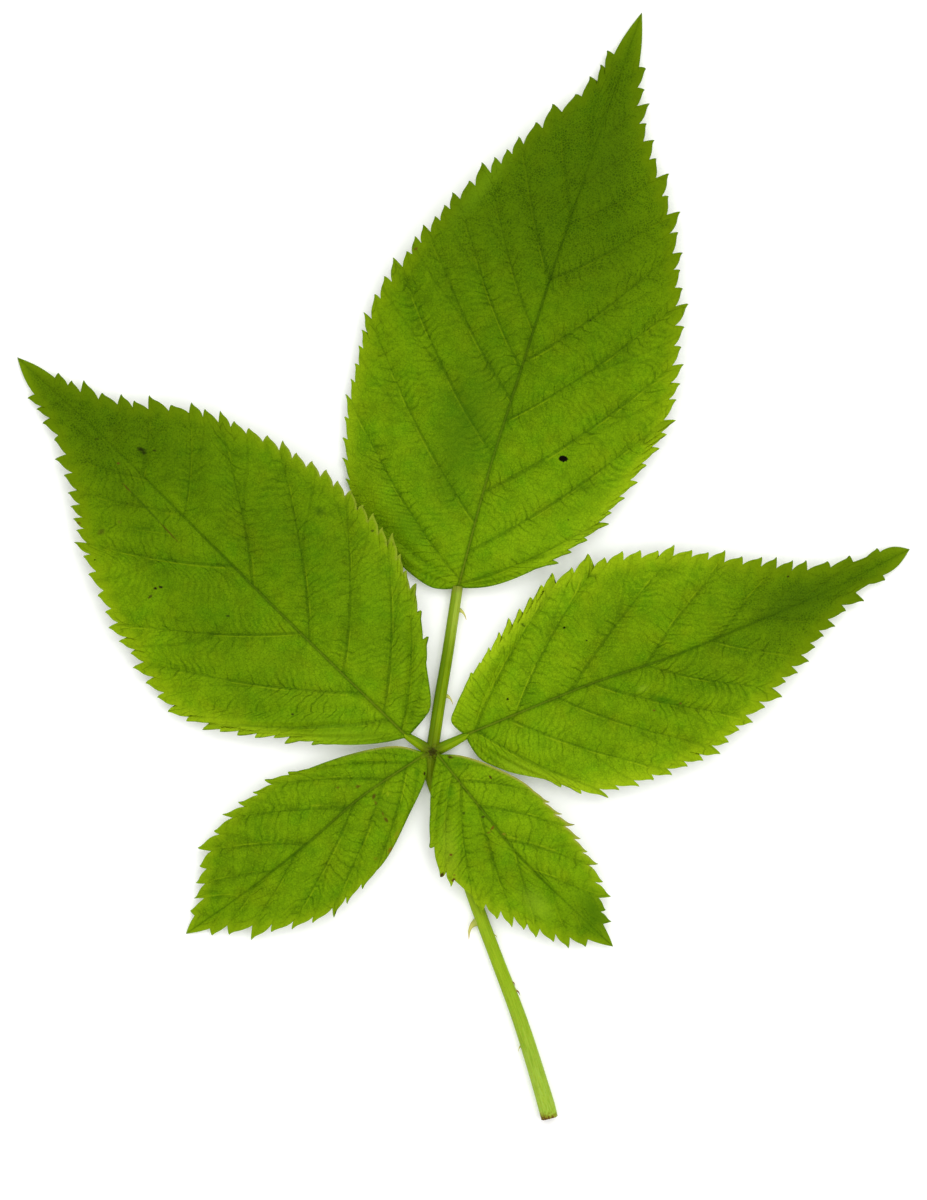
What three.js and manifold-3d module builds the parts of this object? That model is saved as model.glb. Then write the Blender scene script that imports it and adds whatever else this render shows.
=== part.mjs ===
// A picked bramble leaf, laid upper side up: a stalk with its hub, five sharply toothed leaflets and
// hooked prickles.
// Millimetres, +Z up. The hub where the leaflets meet stands on the origin, the terminal leaflet
// points along +Y, and the surface that the leaf lies on is z = 0.

import * as THREE from 'three';
import { mergeVertices } from 'three/addons/utils/BufferGeometryUtils.js';
import Module from 'manifold-3d';

const wasm = await Module();
wasm.setup();

// ---- driving dimensions ----

const BLADE_THICKNESS = 0.62;
const MIDRIB_DEPTH = 0.38; // how far the midrib stands out below the blade at the leaflet's base
const VEIN_DEPTH = 0.14; // the same for a lateral vein, where it leaves the midrib
const VEIN_BOW = 0.05; // how far a vein bends towards the base, as a share of its length
const SWELL = 0.24; // height of the puffed strip between two lateral veins
const FLUTTER = 0.22; // height of the slow wave along the margin
const FLUTTER_STEP = 1.9; // radians of that wave from one vein to the next

const FULL_WIDTH = 10; // half width of blade from which swell and flutter have their full height

const TOOTH_PITCH = 1.62; // length of margin that one tooth takes
const BASE_PITCH = 2.4; // the same beside the base, where teeth are missing or far apart
const MAIN_TOOTH = 1.05; // height of the tooth that a lateral vein ends in
const SMALL_TOOTH = 0.68; // height of the teeth between those
const TOOTH_SPREAD = 0.2; // how far a tooth's height may differ from those, as a share
const FULL_TOOTH_WIDTH = 4; // half width of blade from which the teeth have their full height
const LEAST_TOOTH = 0.3; // share of the full height that a tooth keeps on a narrow blade
const SHOULDER = { at: 0.45, out: 0.62 }; // the bulging back of a tooth, as shares of pitch, height
const POINT = { at: 0.86, lean: 0.3 }; // its point, and how far that leans forward

const ROWS = [0.24, 0.52, 0.8]; // rows of points between midrib (0) and margin (1)
const MIDRIB_STEP = 2.4;
const MERGE = 1e-4; // corners nearer to each other than this are one

const STALK_SIDES = 12;
const PETIOLE_RINGS = 26;
const STALKLET_RINGS = 5; // for each point of a stalklet's path
const PRICKLE_SIDES = 6;
const PRICKLE_RINGS = 4;
const SEAT = 0.34; // gap between a leaflet's stalk and the leaflet's own midrib
const CLEARANCE = 0.02; // height of the petiole's underside above the surface

// Each leaflet is set out along its midrib. base and tip are [x, y] on the surface.
// midrib, spine, tilt: values at the base, the three quarter points and the tip. midrib is the
//   sideways bow, spine the height of the midrib, tilt the sideways slope of the whole blade.
// fold lifts the two halves from the midrib (mm per mm), droop lowers them again (mm per mm2).
// left, right: one row for each lateral vein, as [start along the midrib, end along, end across].
//   The margin runs through the ends, along the bottoms of the teeth.
// plain: how many rows from the base have an untoothed margin, on the left and on the right.
const LEAFLETS = {
  terminal_leaflet: {
    base: [2.44, 15.41],
    tip: [19.74, 69.55],
    color: '#4d7006',
    midrib: [0, 0.6, 0.6, 0.35, 0],
    spine: [1.35, 2.45, 2.9, 2.1, 0.31],
    tilt: [-0.1, -0.03, 0.02, 0.03, 0],
    fold: 0.1,
    droop: 0.0095,
    plain: [3, 2],
    left: [
      [0, 0, 0], [0.1, -0.7, 2.3], [0.3, 0.9, 6.8], [0.5, 5.2, 12], [0.8, 13.8, 14.9],
      [6.3, 21.6, 15.4], [12.7, 27.1, 14.1], [18.4, 31, 12.6], [21.2, 34.8, 10.9],
      [25.2, 38, 8.9], [30.2, 41.5, 6.8], [36.3, 45.5, 4.3], [41.5, 49.5, 1.9],
      [47, 52.8, 0.8], [56.8, 56.8, 0],
    ],
    right: [
      [0, 0, 0], [0.15, 0.9, 2.5], [0.3, 4.1, 6.6], [0.45, 9.9, 10.7], [3.5, 20.9, 13.6],
      [9.1, 26, 12.8], [16.1, 31.4, 11.4], [22, 36, 9.6], [30.2, 39.3, 8], [35.6, 42.3, 6],
      [39.9, 45.2, 3.8], [43.8, 48, 2.3], [48, 51.5, 1], [56.8, 56.8, 0],
    ],
  },
  upper_left_leaflet: {
    base: [-2.26, 1.41],
    tip: [-39, 37.12],
    color: '#4f7407',
    midrib: [0, 0, -0.15, -0.3, 0],
    spine: [1.3, 2.5, 2.9, 2, 0.31],
    tilt: [0, -0.06, -0.05, -0.02, 0],
    fold: 0.11,
    droop: 0.009,
    plain: [2, 2],
    left: [
      [0, 0, 0], [0.2, 1.4, 2.1], [0.5, 4.5, 5.3], [0.8, 8, 7.5], [2.4, 14.3, 12],
      [4.2, 17.8, 13.1], [6, 22.7, 12.2], [14.1, 27, 11.2], [22.6, 34.3, 7.9],
      [27.3, 36.3, 6.5], [29.9, 38.4, 5], [34.5, 41.6, 3.3], [39, 45.5, 1.6],
      [44, 48.3, 0.9], [51.2, 51.2, 0],
    ],
    right: [
      [0, 0, 0], [0.3, 0.2, 2.9], [0.6, 3.6, 6.2], [0.9, 9.2, 9.9], [3.2, 14, 11.6],
      [8.6, 20, 12.1], [12.6, 27.4, 10.9], [20.2, 33.3, 8.8], [29.5, 35.9, 7.5],
      [35, 38.9, 5.1], [39.1, 41.3, 3.4], [43, 44.5, 1.7], [46.5, 48, 0.7], [51.2, 51.2, 0],
    ],
  },
  upper_right_leaflet: {
    base: [3.1, 1.6],
    tip: [44.92, 19.08],
    color: '#629007',
    midrib: [0, -0.05, -0.7, -0.7, 0],
    spine: [1.3, 2.2, 2.6, 1.9, 0.31],
    tilt: [0, 0, 0, 0, 0],
    fold: 0.11,
    droop: 0.011,
    plain: [3, 4],
    left: [
      [0, 0, 0], [0.1, -0.7, 1.6], [0.3, 0.4, 3], [0.5, 3.8, 5.8], [0.7, 8.1, 7.7],
      [1, 13.4, 9.9], [5.3, 17.3, 9.9], [10.7, 24.5, 8], [18.2, 28.7, 5.6], [25.6, 33, 3.2],
      [30, 35, 2.1], [34, 37, 1.1], [38.5, 41, 0.7], [45.3, 45.3, 0],
    ],
    right: [
      [0, 0, 0], [0.1, 0.3, 2.2], [0.2, 2.2, 4.5], [0.3, 5.3, 6.7], [1.3, 9.7, 9.5],
      [4.1, 16.3, 10.2], [9.4, 21, 9.8], [13, 25, 8.4], [18.2, 28.3, 7], [24.7, 32, 5.2],
      [30.5, 35.2, 3.2], [34.5, 38, 1.8], [39, 41.6, 1.2], [45.3, 45.3, 0],
    ],
  },
  lower_left_leaflet: {
    base: [-0.66, -0.19],
    tip: [-23.15, -17.1],
    color: '#678c08',
    midrib: [0, -0.4, 0.05, 0.2, 0],
    spine: [1.3, 1.9, 2.1, 1.6, 0.31],
    tilt: [0, 0, 0, 0, 0],
    fold: 0.11,
    droop: 0.014,
    plain: [3, 3],
    left: [
      [0.2, 0.2, 0], [0.5, 1, 1.6], [0.8, 4.5, 3.6], [2.2, 10.2, 6], [4.6, 15.6, 6.3],
      [7.8, 19.3, 5.1], [15.1, 22.8, 3.2], [19.9, 24.9, 1.7], [24, 26.5, 0.6], [28.1, 28.1, 0],
    ],
    right: [
      [0.2, 0.2, 0], [0.5, 1.5, 2.1], [0.9, 5, 4], [1.5, 9.5, 5.5], [4.4, 13.2, 6.4],
      [8.8, 18, 6.1], [13.8, 21.5, 4.8], [17.6, 23.8, 2.7], [21.8, 24.8, 1.7],
      [25, 26.5, 0.7], [28.1, 28.1, 0],
    ],
  },
  lower_right_leaflet: {
    base: [0.75, -0.47],
    tip: [17, -18.25],
    color: '#628a07',
    midrib: [0, -0.38, -0.72, -0.45, 0],
    spine: [2, 2.6, 2.6, 1.9, 0.9],
    tilt: [0, 0, 0, 0, 0],
    fold: 0.08,
    droop: 0.012,
    plain: [3, 2],
    left: [
      [0.2, -0.4, 0], [0.5, 1.1, 1.5], [0.9, 4, 3.1], [2.8, 8.3, 4.4], [5.9, 12.7, 4.3],
      [9.5, 16.9, 3.5], [14, 19.8, 2.2], [17.8, 22, 0.8], [24.1, 24.1, 0],
    ],
    right: [
      [0.2, -0.4, 0], [0.5, 1.05, 1.97], [0.7, 3.27, 4.24], [1.2, 5.7, 5.6], [2, 8.4, 6.5],
      [3.2, 11.4, 6.2], [5.8, 16, 5.2], [11.4, 18.4, 4.1], [16.1, 20.7, 2.4],
      [19.9, 22, 1.3], [24.1, 24.1, 0],
    ],
  },
};

// Stalks as points [x, y, height, radius]. The petiole lies on the surface, so it has no heights.
const PETIOLE_COLOR = '#9ab838';
const PETIOLE = [
  [0, 0, 0.7], [-0.15, -1.8, 0.6], [2, -8, 0.56], [3.98, -13.8, 0.6], [6.04, -19.3, 0.62],
  [8.2, -25, 0.69], [9.8, -30, 0.75], [10.8, -33.4, 0.8], [11.05, -34.4, 0.8],
];
// Stalklets run from the hub to the base of their leaflet. The two lower leaflets have only a stub.
const STALKLETS = {
  terminal_leaflet: [[0, 0, 0.75, 0.6], [0.74, 4.9, 0.9, 0.57], [1.52, 9.6, 1, 0.54]],
  upper_left_leaflet: [[0, 0, 0.75, 0.58], [-1.1, 0.72, 0.95, 0.48]],
  upper_right_leaflet: [[0, 0, 0.75, 0.58], [1.4, 0.65, 0.95, 0.5]],
};
const STALKLET_END = { below: 0.1, radius: 0.42 }; // below the middle of the blade
const STUBS = [
  [[0, 0, 0.75, 0.5], [-0.6, -0.25, 1, 0.34]],
  [[0, 0, 0.7, 0.5], [0.42, -0.3, 1.4, 0.34]],
];
// The hub, as [radius, height].
const HUB_PROFILE = [
  [0, 0], [0.52, 0], [0.68, 0.16], [0.76, 0.55], [0.7, 0.9], [0.46, 1.15], [0, 1.25],
];
const HUB_SEGMENTS = 14;

// Prickles as [x, y, height, direction in degrees, size]. Their points turn towards the cut end.
const PRICKLES = [
  [2.55, 13.3, 0.95, -8, 1.15],
  [1.35, 5.5, 0.85, -10, 0.95],
  [4.4, -16, 0.62, 200, 1.4],
  [7.5, -21.7, 0.7, 20, 0.6],
  [7.85, -22.6, 0.7, 22, 0.62],
  [5.85, -17.2, 0.6, 18, 0.4],
  [8.5, -27.6, 0.62, 198, 0.5],
];
const PRICKLE_RADII = [0.3, 0.13, 0.02]; // at the root, half way and at the point, for size 1
const PRICKLE_ROOT = 0.4; // how deep the root is sunk in the stalk
const PRICKLE_BEND = { out: 0.55, back: 0.12 };
const PRICKLE_POINT = { out: 0.85, back: 0.65 };

// ---- shared curves ----

// A smooth curve through evenly spaced values that doesn't overshoot them.
function through(values, t) {
  const last = values.length - 1;
  const i = Math.min(Math.floor(t), last - 1);
  const f = t - i;
  const rise = (j) => values[j + 1] - values[j];
  const slope = (j) => {
    if (j === 0) return rise(0);
    if (j === last) return rise(last - 1);
    const product = rise(j - 1) * rise(j);
    return product > 0 ? (2 * product) / (rise(j - 1) + rise(j)) : 0;
  };
  const f2 = f * f;
  const f3 = f2 * f;
  return values[i] * (2 * f3 - 3 * f2 + 1) + slope(i) * (f3 - 2 * f2 + f)
    + values[i + 1] * (3 * f2 - 2 * f3) + slope(i + 1) * (f3 - f2);
}

// The value at a share x (0 to 1) of a leaflet's length.
function profile(values, x) {
  const share = Math.min(Math.max(x, 0), 1);
  return through(values, share * (values.length - 1));
}

// A repeatable draw between 0 and 1.
function draw(seed) {
  const wave = Math.sin(seed * 12.9898) * 43758.5453;
  return wave - Math.floor(wave);
}

// ---- leaflets ----

class Blade {
  constructor(leaf) {
    this.leaf = leaf;
    this.base = new THREE.Vector2(...leaf.base);
    const span = new THREE.Vector2(...leaf.tip).sub(this.base);
    this.length = span.length();
    this.forward = span.normalize();
  }

  // The lateral vein or lane k of one side (+1 left, -1 right): its start and its end.
  lane(side, k) {
    const rows = side > 0 ? this.leaf.left : this.leaf.right;
    const [start, along, across] = [0, 1, 2].map((column) => through(rows.map((r) => r[column]), k));
    return { start, along, across: side * across };
  }

  midrib(along) {
    return profile(this.leaf.midrib, along / this.length);
  }

  // Height of the middle of the blade, from the spine, the cross-section and the lane (k, q).
  height(along, across, side, k, q) {
    const { spine, tilt, fold, droop } = this.leaf;
    const x = along / this.length;
    const out = Math.abs(across - this.midrib(along));
    const width = Math.min(Math.abs(this.lane(side, k).across) / FULL_WIDTH, 1);
    const swell = SWELL * width * Math.sin(Math.PI * (k % 1)) ** 2 * Math.sin(Math.PI * Math.min(q, 1));
    const flutter = FLUTTER * width * q ** 3 * Math.sin(FLUTTER_STEP * k + side);
    const z = profile(spine, x) + profile(tilt, x) * across + fold * out - droop * out ** 2;
    return Math.max(z + swell + flutter, BLADE_THICKNESS / 2);
  }

  // How deep the ribs stand below the blade.
  ribDepth(along, k, q) {
    const taper = 1 - along / this.length;
    const midrib = q === 0 ? MIDRIB_DEPTH * taper : 0;
    const vein = k % 1 === 0 ? VEIN_DEPTH * taper * (1 - q) : 0;
    return Math.max(midrib, vein);
  }

  // A pair of points, on the upper and on the lower face, above [along, across].
  pair(along, across, side, k, q) {
    const rib = this.ribDepth(along, k, q);
    const middle = Math.max(this.height(along, across, side, k, q), BLADE_THICKNESS / 2 + rib);
    const x = this.base.x + along * this.forward.x - across * this.forward.y;
    const y = this.base.y + along * this.forward.y + across * this.forward.x;
    return {
      top: new THREE.Vector3(x, y, middle + BLADE_THICKNESS / 2),
      bottom: new THREE.Vector3(x, y, middle - BLADE_THICKNESS / 2 - rib),
    };
  }

  // A point of the lane k, at the share q of its way from the midrib to the margin.
  lanePoint(side, k, q) {
    const { start, along, across } = this.lane(side, k);
    const root = this.midrib(start);
    const bow = VEIN_BOW * 4 * q * (1 - q) * Math.hypot(along - start, across - root);
    const a = start + (along - start) * q - bow;
    const c = root + (across - root) * q;
    return { t: k, s: start, ...this.pair(a, c, side, k, q) };
  }

  // A point that stands off the margin by out, and ahead of it by lean.
  marginPoint(side, k, out, lean) {
    const step = 0.02;
    const rows = side > 0 ? this.leaf.left : this.leaf.right;
    const here = this.lane(side, k);
    const before = this.lane(side, Math.max(k - step, 0));
    const after = this.lane(side, Math.min(k + step, rows.length - 1));
    const run = new THREE.Vector2(after.along - before.along, after.across - before.across).normalize();
    const a = here.along - side * run.y * out + run.x * lean;
    const c = here.across + side * run.x * out + run.y * lean;
    return { t: k, ...this.pair(a, c, side, k, 1) };
  }

  // Where the teeth of one side begin and end, as lanes, with the height of each tooth.
  teeth(side) {
    const rows = side > 0 ? this.leaf.left : this.leaf.right;
    const plain = this.leaf.plain[side > 0 ? 0 : 1];
    const found = [];
    for (let i = 0; i < rows.length - 1; i += 1) {
      const run = Math.hypot(rows[i + 1][1] - rows[i][1], rows[i + 1][2] - rows[i][2]);
      const count = Math.max(1, Math.round(run / (i <= plain ? BASE_PITCH : TOOTH_PITCH)));
      for (let j = 0; j < count; j += 1) {
        const from = i + j / count;
        const width = Math.abs(this.lane(side, from).across) / FULL_TOOTH_WIDTH + LEAST_TOOTH;
        const size = j === count - 1 ? MAIN_TOOTH : SMALL_TOOTH;
        const luck = 1 + TOOTH_SPREAD * (2 * draw(i + j * 7 + side) - 1);
        const bare = i < plain || (i === rows.length - 2 && j === count - 1);
        const height = bare ? 0 : size * luck * Math.min(width, 1);
        found.push({ from, to: i + (j + 1) / count, height });
      }
    }
    return found;
  }
}

// Triangles between two rows of points, each in the order of its own values of t.
function stitch(inner, outer, key, emit) {
  let i = 0;
  let j = 0;
  while (i < inner.length - 1 || j < outer.length - 1) {
    const innerNext = i < inner.length - 1 ? inner[i][key] + inner[i + 1][key] : Infinity;
    const outerNext = j < outer.length - 1 ? outer[j][key] + outer[j + 1][key] : Infinity;
    if (innerNext <= outerNext) {
      emit(inner[i], inner[i + 1], outer[j]);
      i += 1;
    } else {
      emit(inner[i], outer[j + 1], outer[j]);
      j += 1;
    }
  }
}

// A closed geometry from loose triangles: shared corners are merged, empty triangles are dropped.
function closedGeometry(corners) {
  const loose = new THREE.BufferGeometry().setFromPoints(corners);
  const merged = mergeVertices(loose, MERGE);
  const index = merged.getIndex().array;
  const kept = [];
  for (let i = 0; i < index.length; i += 3) {
    const [a, b, c] = [index[i], index[i + 1], index[i + 2]];
    if (a !== b && b !== c && c !== a) kept.push(a, b, c);
  }
  merged.setIndex(kept);
  return merged;
}

function bladeGeometry(leaf) {
  const blade = new Blade(leaf);
  const corners = [];
  const start = leaf.left[0][0];
  const steps = Math.round((blade.length - start) / MIDRIB_STEP);
  for (const side of [1, -1]) {
    const emit = (a, b, c) => {
      if (side < 0) [b, c] = [c, b];
      corners.push(a.top, b.top, c.top, a.bottom, c.bottom, b.bottom);
    };
    const teeth = blade.teeth(side);
    const lanes = [...teeth.map((tooth) => tooth.from), teeth.at(-1).to];
    const rows = ROWS.map((q) => lanes.map((k) => blade.lanePoint(side, k, q)));
    const midrib = [];
    for (let i = 0; i <= steps; i += 1) {
      const s = start + ((blade.length - start) * i) / steps;
      midrib.push({ s, ...blade.pair(s, blade.midrib(s), side, 0, 0) });
    }
    const rim = [];
    for (const { from, to, height } of teeth) {
      const run = to - from;
      rim.push(blade.marginPoint(side, from, 0, 0));
      if (height > 0) {
        rim.push(blade.marginPoint(side, from + SHOULDER.at * run, height * SHOULDER.out, 0));
        rim.push(blade.marginPoint(side, from + POINT.at * run, height, height * POINT.lean));
      }
    }
    rim.push(blade.marginPoint(side, lanes.at(-1), 0, 0));
    stitch(midrib, rows[0], 's', emit);
    for (let i = 1; i < rows.length; i += 1) stitch(rows[i - 1], rows[i], 't', emit);
    stitch(rows.at(-1), rim, 't', emit);
    for (let i = 1; i < rim.length; i += 1) {
      const [a, b] = side > 0 ? [rim[i - 1], rim[i]] : [rim[i], rim[i - 1]];
      corners.push(a.top, b.top, b.bottom, a.top, b.bottom, a.bottom);
    }
  }
  return closedGeometry(corners);
}

// ---- stalks and prickles ----

function solid(geometry) {
  const bare = geometry.clone();
  bare.deleteAttribute('normal');
  bare.deleteAttribute('uv');
  const merged = mergeVertices(bare, MERGE);
  return new wasm.Manifold(new wasm.Mesh({
    numProp: 3,
    vertProperties: new Float32Array(merged.getAttribute('position').array),
    triVerts: new Uint32Array(merged.getIndex().array),
  }));
}

// A round stalk through points [x, y, z, radius], with flat ends and a flat side down.
function stalk(points, sides, rings) {
  const curve = new THREE.CatmullRomCurve3(points.map(([x, y, z]) => new THREE.Vector3(x, y, z)));
  const radii = points.map((point) => point[3]);
  const loops = [];
  for (let i = 0; i <= rings; i += 1) {
    const t = i / rings;
    const centre = curve.getPoint(t);
    const along = curve.getTangent(t);
    const sideways = new THREE.Vector3(along.y, -along.x, 0).normalize();
    const upward = new THREE.Vector3().crossVectors(sideways, along);
    const radius = through(radii, t * (radii.length - 1));
    const loop = [];
    for (let j = 0; j < sides; j += 1) {
      const angle = ((j + 0.5) / sides) * 2 * Math.PI;
      loop.push(centre.clone()
        .addScaledVector(sideways, radius * Math.cos(angle))
        .addScaledVector(upward, radius * Math.sin(angle)));
    }
    loops.push({ centre, loop });
  }
  const corners = [];
  const first = loops[0];
  const last = loops.at(-1);
  for (let j = 0; j < sides; j += 1) {
    const n = (j + 1) % sides;
    corners.push(first.centre, first.loop[j], first.loop[n], last.centre, last.loop[n], last.loop[j]);
    for (let i = 1; i <= rings; i += 1) {
      const near = loops[i - 1].loop;
      const far = loops[i].loop;
      corners.push(near[j], far[j], far[n], near[j], far[n], near[n]);
    }
  }
  return solid(closedGeometry(corners));
}

function prickle([x, y, z, degrees, size]) {
  const angle = THREE.MathUtils.degToRad(degrees);
  const out = new THREE.Vector3(Math.cos(angle), Math.sin(angle), 0.05);
  const back = new THREE.Vector3(0.15, -1, 0);
  const surface = new THREE.Vector3(x, y, z);
  const root = surface.clone().addScaledVector(out, -PRICKLE_ROOT);
  const [bend, point] = [PRICKLE_BEND, PRICKLE_POINT].map((share) => surface.clone()
    .addScaledVector(out, share.out * size)
    .addScaledVector(back, share.back * size));
  const points = [root, bend, point].map((p, i) => [...p.toArray(), PRICKLE_RADII[i] * size]);
  return stalk(points, PRICKLE_SIDES, PRICKLE_RINGS);
}

function petioleGeometry() {
  const flatSide = Math.cos(Math.PI / STALK_SIDES);
  const lying = PETIOLE.map(([x, y, r]) => [x, y, r * flatSide + CLEARANCE, r]);
  const profilePoints = HUB_PROFILE.map(([r, z]) => new THREE.Vector2(r, z));
  const hub = new THREE.LatheGeometry(profilePoints, HUB_SEGMENTS).rotateX(Math.PI / 2);
  const pieces = [stalk(lying, STALK_SIDES, PETIOLE_RINGS)];
  for (const [name, points] of Object.entries(STALKLETS)) {
    const blade = new Blade(LEAFLETS[name]);
    const end = blade.base.clone().addScaledVector(blade.forward, -SEAT);
    const last = [end.x, end.y, blade.leaf.spine[0] - STALKLET_END.below, STALKLET_END.radius];
    pieces.push(stalk([...points, last], STALK_SIDES, STALKLET_RINGS * points.length));
  }
  for (const points of STUBS) pieces.push(stalk(points, STALK_SIDES, 1));
  for (const entry of PRICKLES) pieces.push(prickle(entry));
  let whole = solid(hub);
  for (const piece of pieces) whole = whole.add(piece);
  const mesh = whole.getMesh();
  const geometry = new THREE.BufferGeometry();
  geometry.setAttribute('position', new THREE.BufferAttribute(mesh.vertProperties, mesh.numProp));
  geometry.setIndex(new THREE.BufferAttribute(mesh.triVerts, 1));
  return geometry;
}

// ---- the leaf ----

function named(name, geometry, color) {
  const mesh = new THREE.Mesh(geometry, new THREE.MeshStandardMaterial({ color, roughness: 0.6 }));
  mesh.name = name;
  return mesh;
}

const leaf = new THREE.Group();
leaf.add(named('petiole', petioleGeometry(), PETIOLE_COLOR));
for (const [name, leaflet] of Object.entries(LEAFLETS)) {
  leaf.add(named(name, bladeGeometry(leaflet), leaflet.color));
}

export default leaf;
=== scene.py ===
import math

import bmesh
import bpy
import numpy as np
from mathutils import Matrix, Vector


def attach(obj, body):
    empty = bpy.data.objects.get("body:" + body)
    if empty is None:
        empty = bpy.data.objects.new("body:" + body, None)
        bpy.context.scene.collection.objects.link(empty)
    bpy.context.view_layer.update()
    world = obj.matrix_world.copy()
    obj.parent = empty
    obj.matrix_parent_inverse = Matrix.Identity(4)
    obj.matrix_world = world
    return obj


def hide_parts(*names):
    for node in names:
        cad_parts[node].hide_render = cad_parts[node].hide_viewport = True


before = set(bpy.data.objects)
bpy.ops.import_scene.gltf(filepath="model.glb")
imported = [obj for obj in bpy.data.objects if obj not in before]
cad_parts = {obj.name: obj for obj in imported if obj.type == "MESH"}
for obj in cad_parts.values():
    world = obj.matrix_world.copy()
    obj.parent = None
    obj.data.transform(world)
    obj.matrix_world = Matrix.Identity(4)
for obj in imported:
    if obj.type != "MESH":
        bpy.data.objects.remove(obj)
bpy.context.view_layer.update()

# ---- stalk ----
# The petiole and the leaflets' stalklets: one grown body, green, juicy and finely ridged, with a
# narrow channel along the upper side and a dark knot, the hub, where they meet. The lower end was
# picked off, and its rim has dried brown round the ends of the strands inside.

MM = 0.001
PETIOLE = [
    (0, 0, 0.7), (-0.15, -1.8, 0.6), (2, -8, 0.56), (3.98, -13.8, 0.6), (6.04, -19.3, 0.62),
    (8.2, -25, 0.69), (9.8, -30, 0.75), (10.8, -33.4, 0.8), (11.05, -34.4, 0.78),
]  # x, y, radius in mm, from the hub to the cut end
STALKLETS = {
    "terminal": [(0, 0, 0.72, 0.58), (0.74, 4.9, 0.88, 0.56), (1.52, 9.6, 1, 0.53), (2.42, 15.6, 1.06, 0.5)],
    "upper_left": [(0, 0, 0.72, 0.56), (-1.1, 0.72, 0.95, 0.48), (-2.7, 1.75, 0.9, 0.3)],
    "upper_right": [(0, 0, 0.72, 0.56), (1.4, 0.65, 0.95, 0.5), (3.6, 1.75, 0.88, 0.3)],
    "lower_left": [(0, 0, 0.7, 0.5), (-0.55, -0.25, 0.95, 0.36), (-1.1, -0.55, 1.1, 0.24)],
    "lower_right": [(0, 0, 0.7, 0.5), (0.42, -0.3, 1.3, 0.36), (1.05, -0.85, 1.72, 0.24)],
}  # x, y, height of the middle, radius in mm, from the hub into the leaflet's midrib
HUB = (0.68, 0.68, 0.56)  # half sizes of the knot in mm
HUB_HEIGHT = 0.62  # mm, of its middle
CLEARANCE = 0.02  # mm between the petiole and what it lies on
STALK_SIDES = 60
RING_STEP = 0.22  # mm along the stalk
RIDGES = 11  # round the stalk
PETIOLE_RELIEF = (0.022, 0.05)  # depth of the ridges and of the channel, as shares of the radius
STALKLET_RELIEF = (0.0286, 0.16)
CHANNEL_WIDTH = 0.3  # radians
CHANNEL_AT = 0.35  # radians from the top towards the left side
PETIOLE_SHADE, STALKLET_SHADE = 0.1, 1  # how dark the channel is
CUT_RIM = 0.3 / 36  # share of the petiole over which the edge of the cut end is rounded
CUT_BEVEL = 0.16  # share of the radius that it loses there
STRANDS = 9
STRAND_RADIUS = 0.1  # mm
STRAND_DEPTH = 0.06  # mm from the cut in to the middle of a strand's round tip
STRAND_RING = (0.68, 0.08)  # how far out they stand, as a share of the radius, and how much that varies


def linear(colour):
    """A colour as Blender's shaders want it, from its sRGB hex value."""
    parts = [int(colour[i:i + 2], 16) / 255 for i in (1, 3, 5)]
    return (*[c / 12.92 if c <= 0.04045 else ((c + 0.055) / 1.055) ** 2.4 for c in parts], 1)


def through(values, t):
    """A smooth curve through evenly spaced values that doesn't overshoot them."""
    values = np.asarray(values, float)
    rise = np.diff(values)
    product = rise[:-1] * rise[1:]
    bend = np.where(product > 0, 2 * product / np.where(product > 0, rise[:-1] + rise[1:], 1), 0)
    slope = np.concatenate([rise[:1], bend, rise[-1:]])
    i = np.clip(np.floor(t).astype(int), 0, len(values) - 2)
    f = t - i
    return (
        values[i] * (2 * f**3 - 3 * f**2 + 1) + slope[i] * (f**3 - 2 * f**2 + f)
        + values[i + 1] * (3 * f**2 - 2 * f**3) + slope[i + 1] * (f**3 - f**2)
    )


def smooth(x, low, high):
    """0 below low, 1 above high, and an even S between."""
    t = np.clip((np.asarray(x, float) - low) / (high - low), 0, 1)
    return t * t * (3 - 2 * t)


def tube(bm, points, sides, step, section, channel, hand=1):
    """A closed stalk through points (x, y, z, radius) in mm. Its section is a function of angle and
    length, and hand is -1 where the section is the other way round."""
    around = bm.loops.layers.uv.get("stalk") or bm.loops.layers.uv.new("stalk")
    grooved = bm.verts.layers.float.get("channel") or bm.verts.layers.float.new("channel")
    count = len(points)
    chord = sum(math.dist(a[:3], b[:3]) for a, b in zip(points, points[1:]))
    rings = max(6, round(chord / step))
    made = bmesh.ops.create_grid(bm, x_segments=sides, y_segments=rings, size=1)
    flat = np.array([v.co for v in made["verts"]])
    angle = flat[:, 0] * math.pi
    share = (flat[:, 1] + 1) / 2
    columns = list(zip(*points))

    def middle(t):
        return np.stack([through(c, np.clip(t, 0, 1) * (count - 1)) for c in columns[:3]], 1)

    ahead = middle(share + 0.01) - middle(share - 0.01)
    ahead /= np.linalg.norm(ahead, axis=1)[:, None]
    left = np.stack([-ahead[:, 1], ahead[:, 0], np.zeros(len(ahead))], 1)
    left /= np.linalg.norm(left, axis=1)[:, None]
    up = np.cross(ahead, left)
    radius = through(columns[3], share * (count - 1)) * section(hand * angle, share)
    outwards = np.sin(angle)[:, None] * left + np.cos(angle)[:, None] * up
    place = middle(share) + radius[:, None] * outwards
    for loop in {loop for v in made["verts"] for loop in v.link_loops}:
        x, y = loop.vert.co.xy
        loop[around].uv = ((hand * x + 1) / 2, (y + 1) / 2 * chord)
    for vertex, p in zip(made["verts"], place):
        vertex.co = p * MM
        vertex[grooved] = channel
    bmesh.ops.remove_doubles(bm, verts=made["verts"], dist=1e-7)
    bmesh.ops.holes_fill(bm, edges=[edge for edge in bm.edges if edge.is_boundary], sides=0)
    return made["verts"]


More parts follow.
